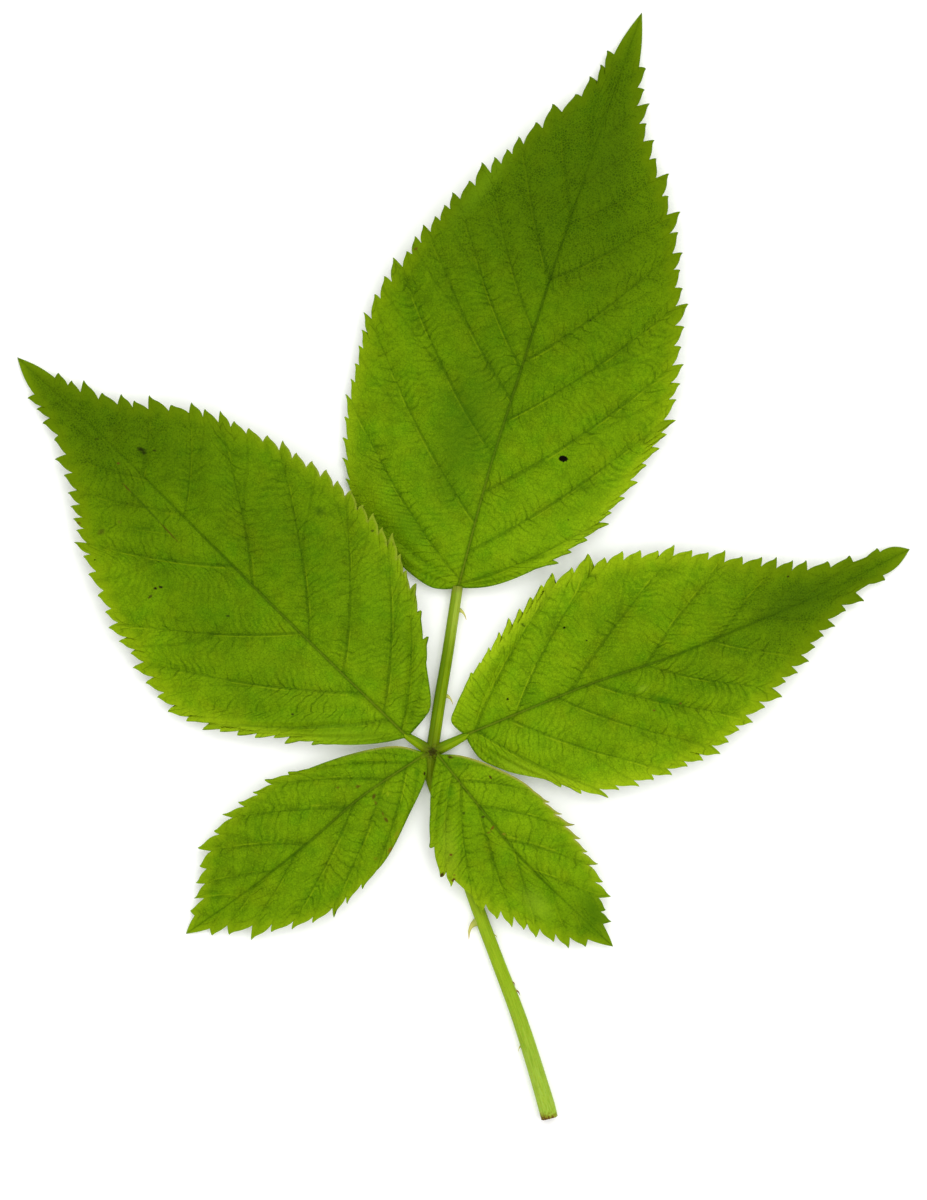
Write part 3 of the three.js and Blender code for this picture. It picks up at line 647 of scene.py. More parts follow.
def fields(blade, side, column, start, q, veins):
    """Places and distances from the veins on one side, as arrays of columns by rows."""
    k, out, lean, start = (values[:, None] for values in (*column, start))
    q = q[None, :]
    here_a, here_c = blade.on_lane(side, k, q, start)
    root, edge_a, edge_c = blade.lane(side, k)
    tooth_a, tooth_c = margin(blade, side, k, out, lean)
    pull = smooth(q, PULLED, 1)
    along = here_a + pull * (tooth_a - edge_a)
    across = here_c + pull * (tooth_c - edge_c)

    ahead = np.minimum(k + LANE_STEP, len(blade.rows(side)) - 1)
    ahead_a, ahead_c = blade.on_lane(side, ahead, q, start)
    step_a = ahead_a + (blade.lane(side, ahead)[0] - root) * (1 - q) - here_a
    step_c = ahead_c - here_c
    way = np.stack([edge_a - start, edge_c - blade.midrib(start)])
    way_length = np.linalg.norm(way, axis=0)
    way = way / np.maximum(way_length, 1e-6)
    spacing = np.abs(step_a * way[1] - step_c * way[0]) / LANE_STEP
    strength = np.interp(k, np.arange(len(veins)), veins)
    strength = strength * (1 - (1 - smooth(q, 0, 0.35)) * (strength < 0.75))
    whole = np.zeros(along.shape)
    return {
        "along": along, "across": across, "z": blade.height(along, across, side, k, q),
        "share": along / blade.length, "rib": np.abs(across - blade.midrib(along)),
        "lateral": np.abs(k - np.round(k)) * spacing, "strength": strength,
        "spacing": spacing, "down_lane": way_length * q, "k": k + whole, "q": q + whole,
        "branch": k + 0.5 * smooth(q, 0.42, 1.05), "twig": k - 0.27 * smooth(q, 0.66, 1.05)}


def closed_sheet(name, columns, rows):
    """A flat sheet of cells: an upper and a lower side, one apart, with walls between them."""
    bm = bmesh.new()
    bmesh.ops.create_grid(bm, x_segments=columns, y_segments=rows, size=0.5)
    bmesh.ops.scale(bm, vec=(columns, rows, 1), verts=bm.verts)
    made = bmesh.ops.extrude_face_region(bm, geom=bm.faces[:], use_keep_orig=True)
    lower = [v for v in made["geom"] if isinstance(v, bmesh.types.BMVert)]
    bmesh.ops.translate(bm, vec=(0, 0, -1), verts=lower)
    bmesh.ops.recalc_face_normals(bm, faces=bm.faces)
    mesh = bpy.data.meshes.new(name)
    bm.to_mesh(mesh)
    bm.free()
    return mesh


def read(items, field, width, kind):
    """The field of every vertex, corner or face of a mesh."""
    values = np.empty(len(items) * width, kind)
    items.foreach_get(field, values)
    return values.reshape(-1, width) if width > 1 else values


def off_rim(both, along, across):
    """How far each place is from the toothed rim."""
    nearest = np.full(len(along), np.inf)
    for half in both.values():
        rim = np.stack([half["along"][:, -1], half["across"][:, -1]], 1)
        for (x, y), run in zip(rim[:-1], np.diff(rim, axis=0)):
            t = ((along - x) * run[0] + (across - y) * run[1]) / max(run @ run, 1e-12)
            t = np.clip(t, 0, 1)
            nearest = np.minimum(nearest, np.hypot(along - x - t * run[0], across - y - t * run[1]))
    return nearest


def skin_height(at, edge, below):
    """The height of the skin, with the midrib and the lateral veins sunk above and raised below."""
    def vein(size, distance):
        return size[0] * np.exp(-((distance / size[1]) ** 2))

    rib, lateral = at("rib"), at("lateral")
    taper = np.clip(1 - at("share"), 0.08, 1)
    thick = RIM_THICKNESS + (THICKNESS - RIM_THICKNESS) * smooth(edge, 0, RIM_WIDTH)
    inside = at("strength") * smooth(edge, 0.1, 1.2)
    grooves = vein(MIDRIB_GROOVE, rib) * taper**0.5 + vein(VEIN_GROOVE, lateral) * inside
    ridges = np.maximum(
        vein(MIDRIB_RIDGE, rib) * taper, vein(VEIN_RIDGE, lateral) * inside * (1 - 0.6 * at("q")))
    middle = np.maximum(at("z"), thick / 2 + ridges)
    return np.where(below, middle - thick / 2 - ridges, middle + thick / 2 - grooves)


def set_borders(mesh, wall):
    """Joins the sheet's doubled points and makes it smooth, but for the edges of its walls."""
    bm = bmesh.new()
    bm.from_mesh(mesh)
    for border in bm.edges:
        border.smooth = len({wall[face.index] for face in border.link_faces}) == 1
    bmesh.ops.remove_doubles(bm, verts=bm.verts, dist=1e-7)
    for face in bm.faces:
        face.smooth = True
    bm.to_mesh(mesh)
    bm.free()


def blade_mesh(name, leaf):
    """The closed skin of one leaflet, from a flat sheet of cells that is laid over its shape."""
    blade = Blade(leaf)
    columns, start = columns_of(blade)
    widest = max(math.hypot(along - begin, out) for s in (1, -1) for begin, along, out in blade.rows(s))
    half, count = round(widest / ROW_STEP), len(start) - 1
    u = np.arange(half + 1) / half
    q = u - 0.06 * np.sin(2 * np.pi * u)  # rows stand closer by the midrib and by the margin
    both = {
        side: fields(blade, side, columns[side], start, q, VEINS[name][0 if side > 0 else 1])
        for side in (1, -1)}
    mesh = closed_sheet(name, count, 2 * half)
    flat = read(mesh.vertices, "co", 3, np.float32)
    i, j = np.round(flat[:, 0] + count / 2).astype(int), np.round(flat[:, 1]).astype(int)
    corner = read(mesh.loops, "vertex_index", 1, np.int32)
    starts = read(mesh.polygons, "loop_start", 1, np.int32)
    centre = read(mesh.polygons, "center", 3, np.float32)
    left = np.repeat(centre[:, 1] > 0, np.diff([*starts, len(corner)]))

    def at_vertex(field):
        return np.where(j >= 0, both[1][field][i, np.abs(j)], both[-1][field][i, np.abs(j)])

    def at_corner(field):
        column, row = i[corner], np.abs(j[corner])
        return np.where(left, both[1][field][column, row], both[-1][field][column, row])

    for layer, first, second in (
        ("lanes", at_corner("k"), at_corner("q") * np.where(left, 1, -1)),
        ("sizes", at_corner("spacing"), at_corner("down_lane")),
        ("branches", at_corner("branch"), at_corner("twig")),
    ):
        uv = mesh.uv_layers.new(name=layer, do_init=False)
        uv.uv.foreach_set("vector", np.stack([first, second], 1).astype(np.float32).ravel())
    along, across = at_vertex("along"), at_vertex("across")
    edge = off_rim(both, along, across)
    for attribute, values in (
        ("from_midrib", at_vertex("rib")), ("from_margin", edge),
        ("vein_strength", at_vertex("strength")), ("share", at_vertex("share")),
    ):
        made = mesh.attributes.new(attribute, "FLOAT", "POINT")
        made.data.foreach_set("value", values.astype(np.float32))
    (forward_x, forward_y), (base_x, base_y) = blade.forward, blade.base
    place = np.stack([
        base_x + along * forward_x - across * forward_y,
        base_y + along * forward_y + across * forward_x,
        skin_height(at_vertex, edge, flat[:, 2] < -0.5)], 1)
    mesh.vertices.foreach_set("co", (place * MM).astype(np.float32).ravel())
    mesh.polygons.foreach_set("material_index", (centre[:, 2] < -0.75).astype(np.int32))
    set_borders(mesh, np.abs(centre[:, 2] + 0.5) < 0.25)
    return mesh


# Upper skin of a fresh bramble leaf: thin tissue, deep yellow-green from the light that comes back
# out of it, with darker sunken veins, a fine net of smaller ones and a matt, barely shining surface.
# Some of its light and shade is painted into the colour: on the halves of the fold, the ripples and
# bulges, beside the laterals, along the curled base margin, and two shadows.
YOUNG_GREEN, FULL_GREEN, DEEP_GREEN = "#668b03", "#577a01", "#3f5d00"
AGES = {
    "terminal_leaflet": (1.0, 0.34, 0.67, 1.0),
    "upper_left_leaflet": (1.0, 0.5, 0.8, 0.85),
    "upper_right_leaflet": (0.8, 0.5, 0.76, 0.95),
    "lower_left_leaflet": (0.5, 0.1, 0.5, 0.0),
    "lower_right_leaflet": (0.3, 0.7, 1.0, 0.5),
}  # how full the green is, the share of the length where deep green begins and is reached, how deep
# Painted light and shade: each half of the fold lighter or darker as it faces the light, together with the
# blade's own paler margins.
LIT_HALVES_AND_PALENESS = {
    "terminal_leaflet": ((-0.05, 0.2), (0.08, 0.62)),
    "upper_left_leaflet": ((-0.15, 0.95), (-0.25, 0.35)),
    "upper_right_leaflet": ((0.28, 0.5), (0.12, 0.65)),
    "lower_left_leaflet": ((0.1, 0.0), (0.08, -0.1)),
    "lower_right_leaflet": ((0.2, -0.05), (-0.05, 0.35)),
}  # how much paler the blade is beside the midrib and by the margin, on the left and on the right
LIGHTER, PALEST, DARKER = (1.55, 1.42, 2.4), (1.75, 1.42, 3.5), (0.5, 0.56, 0.6)  # factors of a green
RUNG = 1.25  # mm between the small veins that join one lateral vein to the next
RUNG_CLIMB = 1.35  # how far they run back towards the midrib, as a share of the gap they cross
FORKS = (
    ("fork", 0.42, 0.52, 0.75, 0.1),
    ("twig", 0.66, 0.74, 0.5, 0.09),
)  # layer, shares of the way where it begins and where it is full, strength, half width in mm
CELL_WALLS = {"feature": "DISTANCE_TO_EDGE", "voronoi_dimensions": "2D"}  # a Voronoi node for a net
RIMS = {
    "upper_left_leaflet": (-1, 2.6, 7, 0.3),
    "lower_left_leaflet": (-1, 0.4, 2.6, 0.85),
    "lower_right_leaflet": (1, 0.6, 5.5, 0.85),
}  # side, first and last lane, and how tan
SPOTS_AND_PAINTED_SHADE = {
    "terminal_leaflet": [
        (12.31, 27.54, 0.5, 0.32, 0, "#0b0703", 1, 0.25), (14.85, 40.5, 0.14, 0.1, 0, "#1c2405", 0.9, 0.6),
        (12.78, 21.8, 0.12, 0.09, 0, "#33300a", 0.9, 0.6), (-1.5, 47.2, 0.3, 0.16, 30, "#5c4a12", 0.8, 0.6),
        (3.2, 30.2, 5.6, 12, -18, "#385c03", 0.62, 1), (5, 53.5, 7, 1.5, 52, "#66890a", 0.55, 1),
        # The first mark below is painted shadow: the shade of the upper left leaflet's margin on the
        # terminal's base.
        (-2.5, 21.5, 4, 2.4, 125, "#456c02", 0.45, 1), (16.5, 56, 3.5, 8, -18, "#3f5c03", 0.3, 1)],
    "upper_left_leaflet": [
        (-8, 1.2, 6, 2.2, -8, "#7fa312", 0.5, 1), (-27.25, 28.4, 0.62, 0.3, 165, "#1f2a04", 1, 0.8),
        (-27.0, 28.1, 0.3, 0.26, 0, "#1f2a04", 0.9, 0.8),
        (-26.0, 28.3, 0.3, 0.14, 170, "#2c3606", 0.9, 0.8),
        (-29.4, 27.1, 0.24, 0.16, 0, "#5a420f", 0.8, 0.8),
        (-26.7, 22.85, 4.7, 0.16, -47, "#2f4a04", 0.6, 0.9),
        (-28.6, 24.8, 0.9, 0.1, -47, "#4c400a", 0.8, 0.8),
        (-24.6, 20.6, 1.8, 0.1, -47, "#4c400a", 0.8, 0.8), (-25.4, 15.5, 0.26, 0.2, 0, "#20240a", 1, 0.7),
        (-25.9, 15.37, 0.24, 0.18, 0, "#20140a", 1, 0.7),
        (-26.4, 14.6, 0.36, 0.17, 40, "#3a3a0c", 0.9, 0.7),
        (-33.1, 21.5, 0.36, 0.2, -20, "#5a420f", 0.8, 0.9),
        (-10.53, 22.56, 0.8, 0.7, 0, "#2a4a04", 0.6, 0.9),
        (-13.06, 3.57, 0.2, 0.17, 0, "#2c330a", 0.9, 0.7),
        (-19.1, 12.8, 0.26, 0.15, 0, "#2f4408", 0.9, 0.7),
        (-31.0, 20.66, 0.6, 0.4, 30, "#42480a", 0.7, 0.9), (-29.3, 21.6, 0.3, 0.22, 0, "#5a5a10", 0.5, 0.9),
        (-31.6, 18.05, 0.12, 0.1, 0, "#1c2405", 1, 0.6), (-31.4, 29.4, 0.32, 0.2, 20, "#2c3a04", 0.7, 0.8),
        (-5.55, 20.77, 0.24, 0.18, 0, "#38400a", 0.8, 0.7)],
    "upper_right_leaflet": [
        (12.4, 11.7, 0.15, 0.14, 0, "#141a04", 1, 0.5), (7.1, 5.0, 0.16, 0.14, 0, "#1c2405", 1, 0.5),
        (14.5, 10.5, 0.12, 0.1, 0, "#22300a", 0.9, 0.5), (33.4, 16.5, 0.16, 0.12, 0, "#2c2c08", 0.9, 0.5),
        (8.55, 11.94, 0.42, 0.2, -40, "#2a4206", 0.75, 0.8), (19.8, 6.0, 0.8, 0.5, 20, "#93b228", 0.3, 1),
        (21.75, 4.94, 2.7, 0.45, -14, "#2f5c02", 0.6, 1), (23.3, 4.6, 0.2, 0.15, 0, "#5a4a10", 0.8, 0.7),
        (20.8, 3.95, 0.2, 0.15, 0, "#5a4a10", 0.8, 0.7), (34.0, 14.2, 6.5, 2.6, 22, "#375603", 0.5, 1),
        (8.2, -1.7, 3.6, 1.4, -25, "#86a816", 0.5, 1)],
    "lower_left_leaflet": [
        # The second mark below is painted shade next to the hub.
        (-4.6, -5.4, 1.6, 2.8, -35, "#3f6a04", 0.4, 1), (-1.4, -1.9, 0.9, 0.55, 80, "#3a6a02", 0.6, 1),
        (-3.3, -7.7, 0.9, 0.3, 62, "#8c7c14", 0.35, 1), (-3.92, -9.15, 0.5, 0.26, 62, "#7a5410", 0.75, 0.9),
        (-5.3, -9.95, 0.4, 0.3, 0, "#76700e", 0.4, 1), (-4.15, -3.9, 0.4, 0.26, 90, "#93ac14", 0.5, 1),
        (-5.45, -4.15, 0.42, 0.24, 70, "#4a3c0c", 0.9, 0.8),
        (-5.28, -4.72, 0.34, 0.16, -65, "#5c520e", 0.7, 0.8),
        (-4.6, -5.75, 0.34, 0.13, -75, "#54480c", 0.7, 0.8),
        (-4.3, -6.32, 0.46, 0.24, -60, "#4c440c", 0.9, 0.8),
        (-6.93, -3.2, 0.38, 0.22, 10, "#54500c", 0.9, 0.8),
        (-8.83, -3.29, 0.26, 0.16, 0, "#52500c", 0.8, 0.8),
        (-0.7, -1.98, 0.26, 0.13, 80, "#2c1c08", 1, 0.7)],
    "lower_right_leaflet": [
        (1.6, -9.2, 1.3, 4.6, 6, "#93ab1e", 0.36, 1), (15.3, -15.0, 4.2, 2.4, -48, "#426802", 0.8, 1),
        (9.8, -14.2, 2.8, 1.5, -48, "#8db020", 0.4, 1), (2.3, -1.1, 2.2, 1.1, -25, "#3f6a04", 0.55, 1),
        (1.75, -3.8, 0.8, 1.1, 0, "#3f7604", 0.5, 1), (1.7, -0.45, 0.44, 0.18, -10, "#3a300a", 0.9, 0.8),
        (4.8, -6.05, 0.26, 0.16, 10, "#34380a", 0.9, 0.7),
        (5.67, -7.08, 0.34, 0.17, 50, "#66460f", 0.9, 0.7),
        (5.36, -7.5, 0.3, 0.12, 20, "#6a5a10", 0.6, 0.7),
        (5.48, -2.32, 0.32, 0.16, -60, "#3c2c0a", 0.9, 0.7),
        (6.74, -7.64, 0.24, 0.16, 0, "#8c7c1e", 0.6, 0.8),
        (2.98, -5.7, 0.24, 0.18, 60, "#3c5206", 0.9, 0.7),
        (1.77, -9.58, 0.22, 0.16, 0, "#5a3a10", 0.9, 0.7),
        (0.93, -11.5, 0.4, 0.26, 60, "#3a1f0a", 0.95, 0.7),
        (2.02, -11.95, 0.32, 0.22, 30, "#4a2a0c", 0.95, 0.7),
        (2.1, -11.5, 0.16, 0.12, 0, "#6a4a14", 0.7, 0.8)],
}  # x, y, half length, half width in mm, direction in degrees, colour, strength, softness


def vein_line(tree, distance, half_width, strength):
    """A line that is strong at distance 0 and gone at one and a half times half_width."""
    low = times(tree, half_width, 0.45)
    high = times(tree, half_width, 1.5)
    share = ramp(tree, distance, low, high, 1.0, 0.0)
    return times(tree, share, strength)


def to_whole(tree, value, size):
    """How far value is from a whole number, times size."""
    away = add(tree, "Math", value, 0.5, operation="ADD")
    away = add(tree, "Math", away, operation="FRACT")
    away = add(tree, "Math", away, 0.5, operation="SUBTRACT")
    away = add(tree, "Math", away, operation="ABSOLUTE")
    return times(tree, away, size)


def patches(tree, place, grain, detail, low, high, least, most):
    """Soft patches of a noise with a grain in mm, from least where it is low to most where it's high."""
    return ramp(tree, noise(tree, place, grain, detail), low, high, least, most)


def measures(tree):
    """Where a place is on its leaflet, as sockets, from the layers of the mesh."""
    at = {"place": add(tree, "TexCoord", out="Object")}
    for layer, *pair in (("lanes", "k", "side"), ("sizes", "spacing", "down"), ("branches", "fork", "twig")):
        uv = add(tree, "UVMap", uv_map=layer)
        for name, axis in zip(pair, "XY"):
            at[name] = add(tree, "SeparateXYZ", uv, out=axis)
    for name in ("from_midrib", "from_margin", "vein_strength", "share"):
        at[name] = add(tree, "Attribute", out="Fac", attribute_name=name)
    at["q"] = add(tree, "Math", at["side"], operation="ABSOLUTE")
    at["part"] = add(tree, "Math", at["k"], operation="FRACT")
    at["to_lateral"] = to_whole(tree, at["k"], at["spacing"])
    return at


def main_veins(tree, at):
    """The midrib and the laterals, which grow finer and wander a little, with a soft painted shade beside
    a lateral. Each lateral forks towards the margin, and its fork once more, into the smaller teeth."""
    strength, q = at["vein_strength"], at["q"]
    width = add(tree, "MapRange", at["share"], 0.0, 1.0, 0.2, 0.06)
    at["midrib"] = vein_line(tree, at["from_midrib"], width, 1.0)
    drift = noise(tree, at["place"], 1.6, 2.0)
    drift = add(tree, "MapRange", drift, 0.25, 0.75, -0.07, 0.07)
    beside = add(tree, "Math", at["to_lateral"], drift, operation="ADD")
    at["beside"] = add(tree, "Math", beside, operation="ABSOLUTE")
    narrow = add(tree, "MapRange", q, 0.0, 1.0, 0.135, 0.075)
    fade = ramp(tree, q, 0.6, 1.0, 1.0, 0.5)
    fade = times(tree, fade, strength)
    at["lateral"] = vein_line(tree, at["beside"], narrow, fade)
    # Painted shade: a soft darker band beside each sunken lateral.
    halo = ramp(tree, at["beside"], 0.0, 0.7, 1.0, 0.0)
    at["halo"] = times(tree, halo, strength)
    forks = []
    for phase, low, high, most, half_width in FORKS:
        grown = ramp(tree, q, low, high, 0.0, most)
        grown = times(tree, grown, strength)
        away = add(tree, "Math", to_whole(tree, at[phase], at["spacing"]), drift, operation="ADD")
        away = add(tree, "Math", away, operation="ABSOLUTE")
        forks.append(vein_line(tree, away, half_width, grown))
    at["branch"] = add(tree, "Math", *forks, operation="MAXIMUM")


def ladder(tree, at):
    """Rungs that bend back as they cross from one lateral to the next, with an offset of their own on
    each lane, and shaken. Also the bulge of the skin between the laterals and its ripple with the rungs,
    which drive only painted light and shade."""
    rest = add(tree, "Math", 1.0, at["part"], operation="SUBTRACT")
    at["bulge"] = times(tree, at["part"], rest)
    climb = add(tree, "Math", at["part"], 1.6, operation="POWER")
    climb = times(tree, climb, at["spacing"])
    lane = add(tree, "Math", at["k"], operation="FLOOR")
    lane = times(tree, lane, add(tree, "Math", at["side"], operation="SIGN"))
    shift = add(tree, "TexWhiteNoise", lane, out="Value", noise_dimensions="1D")
    slow = noise(tree, at["place"], 3.2, 3.0)
    quick = noise(tree, at["place"], 0.9, 1.0)
    rung = times(tree, at["down"], 1 / RUNG)
    for source, weight in ((climb, RUNG_CLIMB / RUNG), (shift, 5.0), (slow, 1.3), (quick, 0.3)):
        rung = add(tree, "Math", source, weight, rung, operation="MULTIPLY_ADD")
    seen = patches(tree, at["place"], 1.9, 2.0, 0.34, 0.62, 0.1, 1.0)
    near = ramp(tree, at["beside"], 0.2, 1.9, 1.0, 0.12)
    seen = times(tree, seen, near)
    at["ladder"] = vein_line(tree, to_whole(tree, rung, RUNG), 0.075, seen)
    ripple = to_whole(tree, times(tree, rung, 2.0), 2.0)
    ripple = add(tree, "Math", ripple, 0.5, operation="SUBTRACT")
    rippled = patches(tree, at["place"], 3.4, 4.0, 0.4, 0.62, 0.05, 1.0)
    at["ripple"] = times(tree, ripple, rippled)


def lips(tree, at):
    """A painted sheen in places along one side of a lateral: a thin pale line for the light caught by the
    vein's raised border.
    """
    turned = add(tree, "Math", at["part"], 0.5, operation="SUBTRACT")
    turned = add(tree, "Math", turned, operation="SIGN")
    lip = times(tree, at["to_lateral"], turned)
    lip = add(tree, "Math", lip, 0.17, operation="SUBTRACT")
    lip = add(tree, "Math", lip, operation="ABSOLUTE")
    lip = vein_line(tree, lip, 0.05, at["vein_strength"])
    lipped = patches(tree, at["place"], 2.4, 2.0, 0.46, 0.6, 0.0, 1.0)
    at["lip"] = times(tree, lip, lipped)


def nets(tree, at):
    """The net of veinlets, and the finest mesh, drawn coarser than the real one so that it shows."""
    bent = noise(tree, at["place"], 0.5, 2.0, out="Color")
    bent = add(tree, "VectorMath", bent, (0.5, 0.5, 0.5), operation="SUBTRACT")
    bent = add(tree, "VectorMath", bent, (0.25 * MM,) * 3, at["place"], operation="MULTIPLY_ADD")
    for name, cell, reach in (("net", 0.62, 0.14), ("fine", 0.25, 0.2)):
        walls = add(tree, "TexVoronoi", bent, 1 / (cell * MM), **CELL_WALLS)
        at[name] = ramp(tree, walls, 0.02, reach, 1.0, 0.0)


def vein_pattern(tree):
    """The measures and the veins of a leaflet, as sockets by name."""
    at = measures(tree)
    main_veins(tree, at)
    ladder(tree, at)
    lips(tree, at)
    nets(tree, at)
    return at


def ageing_green(tree, at, name):
    """The plain green of the upper side: young at the base, deep towards the tip, and paler or darker
    beside the midrib and by the margin: partly the blade's own paler margin, partly painted light and
    shade on each half of the fold."""
    filled, begins, reached, deep = AGES[name]
    green = laid_over(tree, linear(YOUNG_GREEN), (
        (at["share"], 0.08, 0.45, filled, FULL_GREEN),
        (at["share"], begins, reached, deep, DEEP_GREEN),
        (at["share"], 0.88, 1.0, 0.2, YOUNG_GREEN),
    ))
    fading = ramp(tree, at["share"], 0.66, 0.92, 1.0, 0.3)
    # Each half lighter or darker: painted light and shade of the fold, with the blade's own paler margin.
    for side, (inner, outer) in zip((1, -1), LIT_HALVES_AND_PALENESS[name]):
        for low, high, most in ((0.02, 0.3, inner), (0.55, 0.97, outer)):
            tone = times_each(tree, green, LIGHTER if most > 0 else DARKER)
            much = ramp(tree, at["side"], side * low, side * high, 0.0, abs(most))
            much = times(tree, much, fading)
            green = add(tree, "Mix", much, green, tone, **COLOUR)
    return green


def uneven(tree, at, green, name, mottle):
    """The green with its grain, from broad patches to single cells, painted light and shade on its
    ripples, a painted highlight on the bulges between the laterals, a painted sheen along one side of
    them, and its paler teeth."""
    light, shade, pale, warm, cool = (
        times_each(tree, green, tone)
        for tone in (LIGHTER, DARKER, PALEST, (1.2, 1.0, 1.0), (0.8, 1.0, 1.0)))
    rim_reach = 1.2 if name.startswith("lower") else 1.6  # mm
    rim = ramp(tree, at["from_margin"], rim_reach, 0.0, 0.0, 0.78)
    toothed = ramp(tree, at["k"], 1.5, 4.0, 0.12, 1.0)
    rim = times(tree, rim, toothed)
    broad = noise(tree, at["place"], 6, 3.0)
    grain = noise(tree, at["place"], 0.15, 2.0)
    aside = add(tree, "VectorMath", at["place"], (0.02, 0, 0), operation="ADD")
    change = noise(tree, aside, 2.4, 4.0)
    _, begins, reached, deep = AGES[name]
    rough, mottled, netted = (
        ramp(tree, at["share"], begins, reached, young, old)
        for young, old in ((0.52, 0.52 + 0.48 * deep), (0.42, 0.42 + 0.3 * deep), (0.0, 0.9 * deep)))
    return laid_over(tree, green, (
        (change, 0.5, 0.68, 0.8, warm), (change, 0.5, 0.32, 0.8, cool),
        (broad, 0.5, 0.68, 0.32, light), (broad, 0.5, 0.32, 0.32, shade),
        (mottle, 0.5, 0.7, mottled, light), (mottle, 0.5, 0.3, mottled, shade),
        (grain, 0.5, 0.72, rough, light), (grain, 0.5, 0.28, rough, shade),
        # Painted light and shade on the ripples, and on the next line a painted highlight on the bulges
        # between the laterals.
        (at["ripple"], 0.1, 0.5, 0.38, light), (at["ripple"], -0.1, -0.5, 0.34, shade),
        (at["fine"], 0.0, 1.0, netted, light), (at["bulge"], 0.1, 0.25, 0.12, light),
        # A painted sheen along one side of the laterals, then the paler teeth.
        (at["lip"], 0.0, 1.0, 0.7, pale), (rim, 0.0, 1.0, 1.0, pale),
    ))


def veined(tree, at, green, name):
    """The green with the dark lines of its veins, a soft painted shade beside the laterals and a painted
    shade along the plain margin where it curls over, weaker where it is deep, and the yellow core of
    the midrib."""
    dark = times_each(tree, green, (0.26, 0.34, 0.3))
    # Painted shade along the plain margin at the base, where the blade's edge curls over.
    curled_margin_shade = ramp(tree, at["from_margin"], 0.2, 0.05, 0.0, 0.5)
    plain = ramp(tree, at["k"], 2.0, 4.0, 1.0, 0.0)
    curled_margin_shade = times(tree, curled_margin_shade, plain)
    reach = add(tree, "MapRange", at["share"], 0.0, 1.0, 0.7, 0.25)
    near = ramp(tree, at["from_midrib"], 0.0, reach, 1.0, 0.0)
    clear = ramp(tree, at["share"], 0.4, 0.85, 1.0, 0.7 - 0.38 * AGES[name][3])
    for vein, most in (
        (curled_margin_shade, 1.0), (at["halo"], 0.1), (at["fine"], 0.12), (at["net"], 0.12), (at["ladder"], 0.42),
        (at["branch"], 0.3), (at["lateral"], 0.42), (near, 0.16), (at["midrib"], 0.62),
    ):
        much = times(tree, vein, most)
        much = times(tree, much, clear)
        green = add(tree, "Mix", much, green, dark, **COLOUR)
    core = ramp(tree, at["from_midrib"], 0.02, 0.09, 1.0, 0.0)
    fade = add(tree, "MapRange", at["share"], 0.0, 0.5, 0.5, 0.0)
    core = times(tree, core, fade)
    return add(tree, "Mix", core, green, linear("#72791c"), **COLOUR)


def tan_rim(tree, at, green, side, first, last, most):
    """The green with a tan rim, where one side of the margin has dried."""
    band = ramp(tree, at["from_margin"], 0.26, 0.08, 0.0, most)
    for source, low, high in (
        (at["k"], first, first + 0.4), (at["k"], last, last - 1.5), (at["side"], 0.0, 0.1 * side),
    ):
        part = add(tree, "MapRange", source, low, high, 0.0, 1.0)
        band = times(tree, band, part)
    return add(tree, "Mix", band, green, linear("#98993f"), **COLOUR)


def marked(tree, at, green, marks):
    """The green with its single marks: ovals with a ragged edge. Two are painted shade, under the upper left
    leaflet's margin and next to the hub.
    """
    wobble = noise(tree, at["place"], 0.16, 2.0, out="Color")
    wobble = add(tree, "VectorMath", wobble, (0.5, 0.5, 0.5), operation="SUBTRACT")
    for x, y, long, wide, turn, hue, most, soft in marks:
        ragged = (min(long, wide) * 0.9 * MM,) * 3
        shaken = add(tree, "VectorMath", wobble, ragged, at["place"], operation="MULTIPLY_ADD")
        local = add(tree, "Mapping", shaken, (x * MM, y * MM, 0), (0, 0, math.radians(turn)),
                    (long * MM, wide * MM, 1000), vector_type="TEXTURE")
        out = add(tree, "VectorMath", local, operation="LENGTH", out="Value")
        green = laid_over(tree, green, [(out, 1.0, 1.0 - soft, most, hue)])
    return green


def upper_skin(name):
    """The upper side of one leaflet."""
    made, tree, shader = material("fresh_leaf_upper_skin_" + name)
    at = vein_pattern(tree)
    mottle = noise(tree, at["place"], 1.1, 4.0)
    green = ageing_green(tree, at, name)
    green = uneven(tree, at, green, name, mottle)
    green = veined(tree, at, green, name)
    if name in RIMS:
        green = tan_rim(tree, at, green, *RIMS[name])
    green = marked(tree, at, green, SPOTS_AND_PAINTED_SHADE[name])
    relief = times(tree, mottle, 0.05)
    for vein, rise in (("net", -0.018), ("fine", -0.01), ("ladder", -0.03), ("branch", -0.03)):
        relief = add(tree, "Math", at[vein], rise, relief, operation="MULTIPLY_ADD")
    finish(tree, shader, green, 0.5, 0.02, {"Height": relief, "Distance": MM, "Strength": 1.0})
    return made


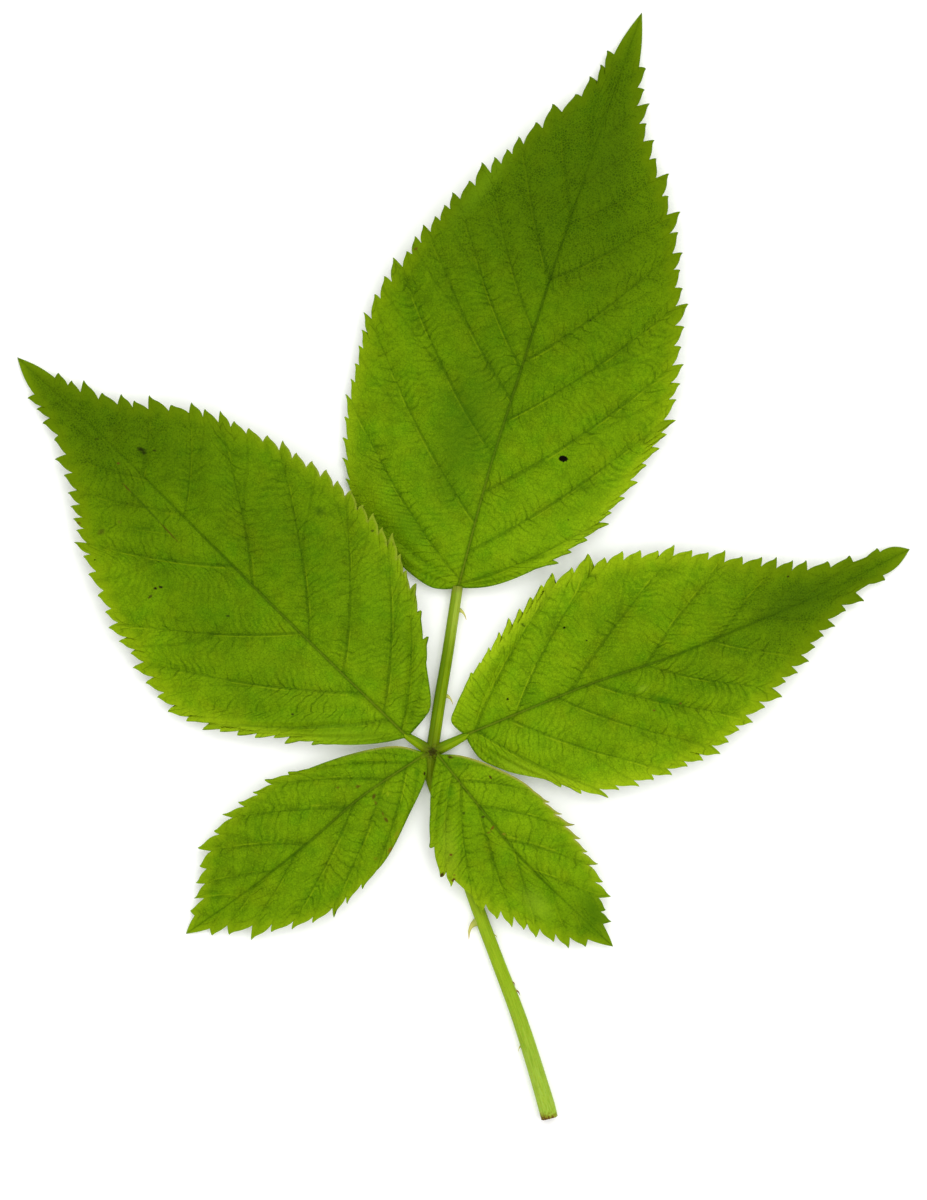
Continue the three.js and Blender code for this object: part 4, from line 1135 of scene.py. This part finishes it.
def lower_skin(name):
    """The lower side of one leaflet: paler, grey-green and matt with a fine felt of hairs, its raised
    veins yellow-green."""
    made, tree, shader = material("fresh_leaf_lower_skin_" + name)
    at = vein_pattern(tree)
    broad = noise(tree, at["place"], 7, 3.0)
    felt = noise(tree, at["place"], 0.18, 2.0)
    green = laid_over(tree, linear("#84a050"), (
        (broad, 0.35, 0.7, 0.4, "#93ad62"), (felt, 0.5, 0.75, 0.35, "#bccb9c"),
        (at["from_margin"], 1.2, 0.1, 0.3, "#97b052"), (at["fine"], 0.0, 1.0, 0.14, "#5f7e30"),
    ))
    for vein, most in (("net", 0.25), ("ladder", 0.35), ("branch", 0.5), ("lateral", 0.7), ("midrib", 0.9)):
        much = times(tree, at[vein], most)
        green = add(tree, "Mix", much, green, linear("#b3c374"), **COLOUR)
    relief = times(tree, felt, 0.02)
    for vein, rise in (("net", 0.03), ("ladder", 0.05), ("branch", 0.05)):
        relief = add(tree, "Math", at[vein], rise, relief, operation="MULTIPLY_ADD")
    finish(tree, shader, green, 0.8, 0.2, {"Height": relief, "Distance": MM, "Strength": 1.0})
    return made


for name, leaf in LEAFLETS.items():
    leaflet = put(name + "_blade", blade_mesh(name, leaf))
    leaflet.data.materials.append(upper_skin(name))
    leaflet.data.materials.append(lower_skin(name))
    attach(leaflet, "root")
    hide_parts(name)

# ---- floor, light and camera ----
# A plain pale card that glows a little, under soft light from all round. The camera looks straight
# down from so far away that nothing leans.

VIEW_HEIGHT = 112.78  # mm of the card from the upper to the lower edge of the view
VIEW_CENTRE = (2.96, 14.29)  # mm
LENS, SENSOR = 300.0, 36.0  # mm
CARD_SIZE = 1.5  # m, from the middle to an edge
CARD_GLOW = 0.1
ROOM_LIGHT = 0.62
LAMPS = [(-145, 60, 0.7), (-35, 60, 1.2), (55, 60, 1.3), (125, 60, 0.8)]  # degrees round and up, share
LAMP_DISTANCE, LAMP_SIZE, LAMP_POWER = 0.9, 0.5, 1.6  # m, m and W

floor_mesh = bpy.data.meshes.new("floor")
bm = bmesh.new()
bmesh.ops.create_grid(bm, x_segments=1, y_segments=1, size=CARD_SIZE)
bm.to_mesh(floor_mesh)
bm.free()
floor = put("floor", floor_mesh)
card, tree, shader = material("matt_white_card")
shader.inputs["Base Color"].default_value = linear("#fbfbfa")
shader.inputs["Roughness"].default_value = 0.9
shader.inputs["Specular IOR Level"].default_value = 0.1
shader.inputs["Emission Color"].default_value = linear("#ffffff")
shader.inputs["Emission Strength"].default_value = CARD_GLOW
floor_mesh.materials.append(card)

centre = Vector((VIEW_CENTRE[0] * MM, VIEW_CENTRE[1] * MM, 0))
for i, (azimuth, elevation, share) in enumerate(LAMPS):
    turn, lift = math.radians(azimuth), math.radians(elevation)
    away = Vector((math.cos(turn) * math.cos(lift), math.sin(turn) * math.cos(lift), math.sin(lift)))
    lamp = bpy.data.lights.new(f"soft_lamp_{i}", "AREA")
    lamp.shape = "SQUARE"
    lamp.size = LAMP_SIZE
    lamp.energy = LAMP_POWER * share
    holder = put(f"soft_lamp_{i}", lamp)
    holder.location = centre + away * LAMP_DISTANCE
    holder.rotation_euler = (-away).to_track_quat("-Z", "Y").to_euler()
world = bpy.data.worlds.new("soft_room")
world.use_nodes = True
world.node_tree.nodes["Background"].inputs["Color"].default_value = linear("#ffffff")
world.node_tree.nodes["Background"].inputs["Strength"].default_value = ROOM_LIGHT
bpy.context.scene.world = world
bpy.context.scene.view_settings.view_transform = "Standard"

eye = bpy.data.cameras.new("camera")
eye.lens = LENS
eye.sensor_width = SENSOR
eye.clip_start = 0.05
eye.clip_end = 10
camera = put("camera", eye)
camera.location = centre + Vector((0, 0, VIEW_HEIGHT * MM * LENS / SENSOR))
bpy.context.scene.camera = camera
